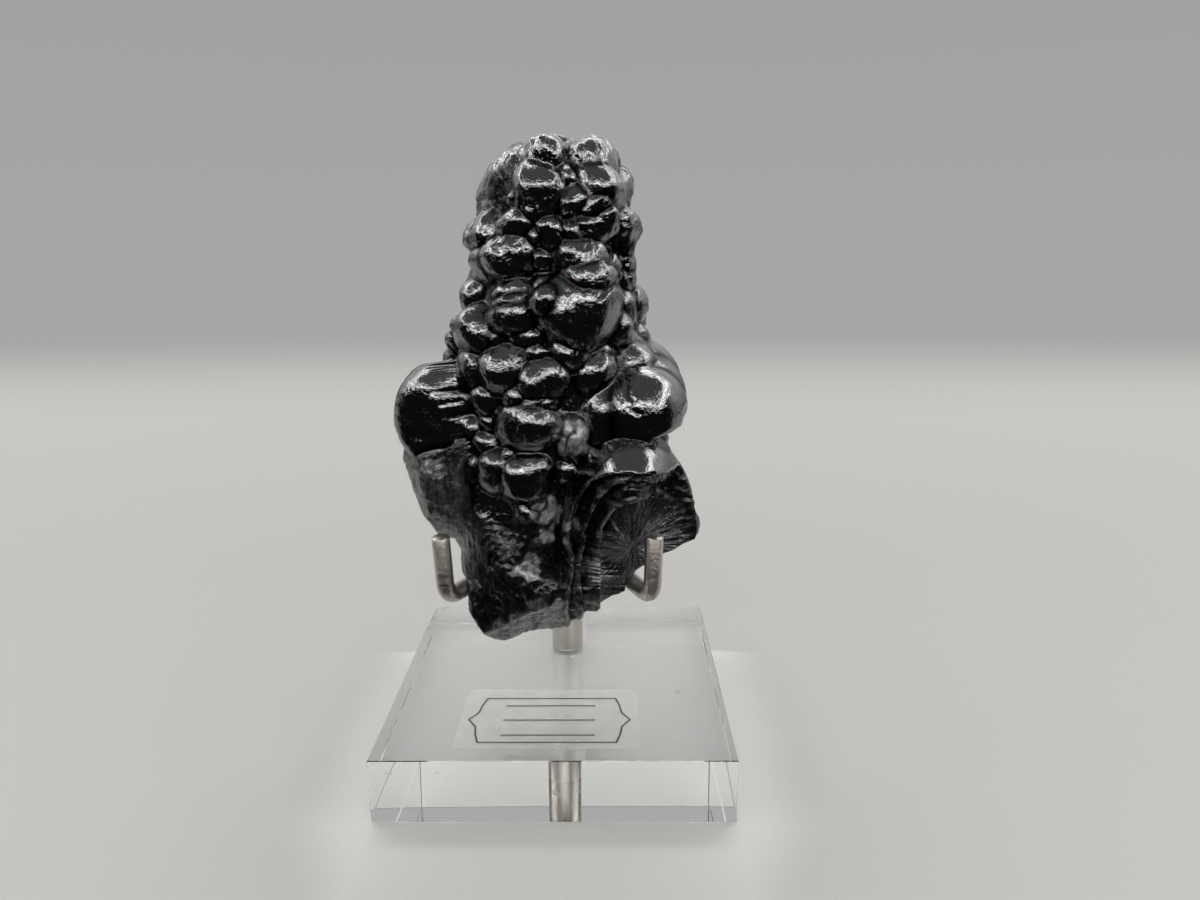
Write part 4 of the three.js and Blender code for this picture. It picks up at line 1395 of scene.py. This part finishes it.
def floor_mesh():
    """A flat disc: an inner circle closed to its middle, and a ring round it."""
    c, s = circle(FLOOR_SIDES)
    rings = [np.stack([r * c, r * s, 0 * c], -1) / MM for r in (FLOOR_FADE, FLOOR_WIDE)]
    points = np.concatenate([*rings, [(0, 0, 0)]]) - [0, 0, FLOOR_DROP]
    j = np.arange(FLOOR_SIDES)
    inner = np.stack([np.full(FLOOR_SIDES, 2 * FLOOR_SIDES), j, (j + 1) % FLOOR_SIDES], -1)
    return new_object("floor", points, [grid_faces(2, FLOOR_SIDES)[:, ::-1], inner])


def make_floor():
    """A light grey floor whose rim fades into the backdrop, painted darker further back and brighter by
    the block and under it: painted shade and painted light that even out the studio's light and the
    block's shadow.

    Reflections see only its part behind the table's front edge. What is seen through the clear
    block is a little paler, since the block gathers light there.
    """
    floor = floor_mesh()
    material, tree, shader, where = new_material("pale_floor", Roughness=0.6)
    wide = stretch(tree, where, (0.35, 1.0, 1.0))
    away = add(tree, "ShaderNodeVectorMath", {0: wide}, operation="LENGTH").outputs["Value"]
    rim = remap(tree, away, FLOOR_FADE, FLOOR_R, 1.0, 0.0)
    ahead = add(tree, "ShaderNodeSeparateXYZ", {0: where}).outputs["Y"]
    table = remap(tree, ahead, TABLE_EDGE - TABLE_FADE, TABLE_EDGE, 0.0, 1.0)
    path = add(tree, "ShaderNodeLightPath").outputs
    direct = math_node(tree, "LESS_THAN", path["Glossy Depth"], 0.5)
    through = math_node(tree, "GREATER_THAN", path["Transmission Depth"], 0.5)
    table = math_node(tree, "MAXIMUM", table, math_node(tree, "MAXIMUM", direct, through))
    cloud = noise_node(tree, where, 9.0, 3.0)
    # Painted shade: the floor darker further back.
    far = remap(tree, ahead, -0.14, 0.12, 0.0, 1.0)
    pale_and_painted_light = mix_colour(tree, far, FLOOR_NEAR, FLOOR_FAR)
    rear = times(tree, through, math_node(tree, "GREATER_THAN", ahead, BLOCK * MM / 2))
    pale_and_painted_light = mix_colour(tree, rear, pale_and_painted_light, FLOOR_THROUGH)
    # Painted light in front of, beside and under the block, in place of its shadow.
    outside = beyond_block(tree, where)
    glow = remap(tree, outside, 0.0, UNDER_GLOW, 1.0, 0.0)
    pale_and_painted_light = mix_colour(tree, glow, pale_and_painted_light, FLOOR_PAINTED_LIGHT_BY_BLOCK)
    pale_and_painted_light = mix_colour(tree, math_node(tree, "LESS_THAN", outside, 0.0001), pale_and_painted_light, FLOOR_PAINTED_LIGHT_UNDER)
    pale_and_painted_light = mix_colour(tree, times(tree, cloud, 0.06), pale_and_painted_light, FLOOR_CLOUD)
    feed(tree, shader, {"Base Color": pale_and_painted_light, "Alpha": times(tree, rim, table)})
    floor.data.materials.append(material)


def strip_light(name, across, along, wide, deep):
    """A flat panel on the tilted plane whose brightness is the same whatever its size."""
    data = bpy.data.lights.new(name, "AREA")
    data.shape = "RECTANGLE"
    data.size, data.size_y = wide, deep
    data.energy = RING_RADIANCE * math.pi * wide * deep
    data.color = LIGHT_COLOUR
    light = bpy.data.objects.new(name, data)
    up, flat = math.cos(LIGHT_TILT), math.sin(LIGHT_TILT)
    light.location = (across, along * up - LIGHT_AWAY * flat, along * flat + LIGHT_AWAY * up)
    light.rotation_euler = (LIGHT_TILT, 0, 0)
    bpy.context.scene.collection.objects.link(light)


def make_lights():
    """Four strips that make an open rectangle overhead, tilted to the front."""
    x, y = LIGHT_HALF_X, LIGHT_HALF_Y
    strip_light("strip_front", 0, -y, 2 * x + STRIP, STRIP)
    strip_light("strip_back", 0, y, 2 * x + STRIP, STRIP)
    strip_light("strip_left", -x, 0, STRIP, 2 * y - STRIP)
    strip_light("strip_right", x, 0, STRIP, 2 * y - STRIP)


def make_surround():
    """Pale walls, a dark opening in front and a grey ceiling inside the strips of light.

    The camera sees a plain backdrop, and light through the clear block an even, paler one.
    """
    world = bpy.data.worlds.new("soft_box")
    world.use_nodes = True
    bpy.context.scene.world = world
    tree = world.node_tree
    background = tree.nodes["Background"]
    way = add(tree, "ShaderNodeTexCoord").outputs["Generated"]
    axes = add(tree, "ShaderNodeSeparateXYZ", {0: way}).outputs
    low_wall = remap(tree, axes["X"], -0.3, 0.4, WALL_LEFT, WALL_RIGHT)
    walls = remap(tree, axes["Z"], -0.12, 0.45, low_wall, WALL_TOP)
    ahead = remap(tree, axes["Y"], -0.2, 0.08, 1.0, 0.0)
    low = remap(tree, axes["Z"], 0.42, 0.6, 1.0, 0.0)
    opening = times(tree, ahead, low)
    light = mix(tree, opening, walls, OPENING_DARK)
    turn = {"Vector": way, "Angle": -LIGHT_TILT}
    turned_way = add(tree, "ShaderNodeVectorRotate", turn, rotation_type="X_AXIS").outputs[0]
    tilted = add(tree, "ShaderNodeSeparateXYZ", {0: turned_way}).outputs
    inside = math_node(tree, "GREATER_THAN", tilted["Z"], 0.05)
    for axis, half in (("X", LIGHT_HALF_X), ("Y", LIGHT_HALF_Y)):
        share = math_node(tree, "DIVIDE", math_node(tree, "ABSOLUTE", tilted[axis]), tilted["Z"])
        within = math_node(tree, "LESS_THAN", share, half / LIGHT_AWAY)
        inside = times(tree, inside, within)
    light = mix(tree, inside, light, CEILING)
    backdrop = remap(tree, axes["Z"], -0.1, 0.35, BACKDROP_LOW, BACKDROP_HIGH)
    path = add(tree, "ShaderNodeLightPath").outputs
    through = math_node(tree, "GREATER_THAN", path["Transmission Depth"], 0.5)
    light = mix(tree, through, light, THROUGH_BLOCK)
    light = mix(tree, path["Is Camera Ray"], light, backdrop)
    blue = times(tree, light, 0.99)
    colour = add(tree, "ShaderNodeCombineColor", {0: light, 1: light, 2: blue}).outputs[0]
    tree.links.new(colour, background.inputs["Color"])


make_floor()
make_lights()
make_surround()
bpy.context.scene.view_settings.view_transform = "Standard"
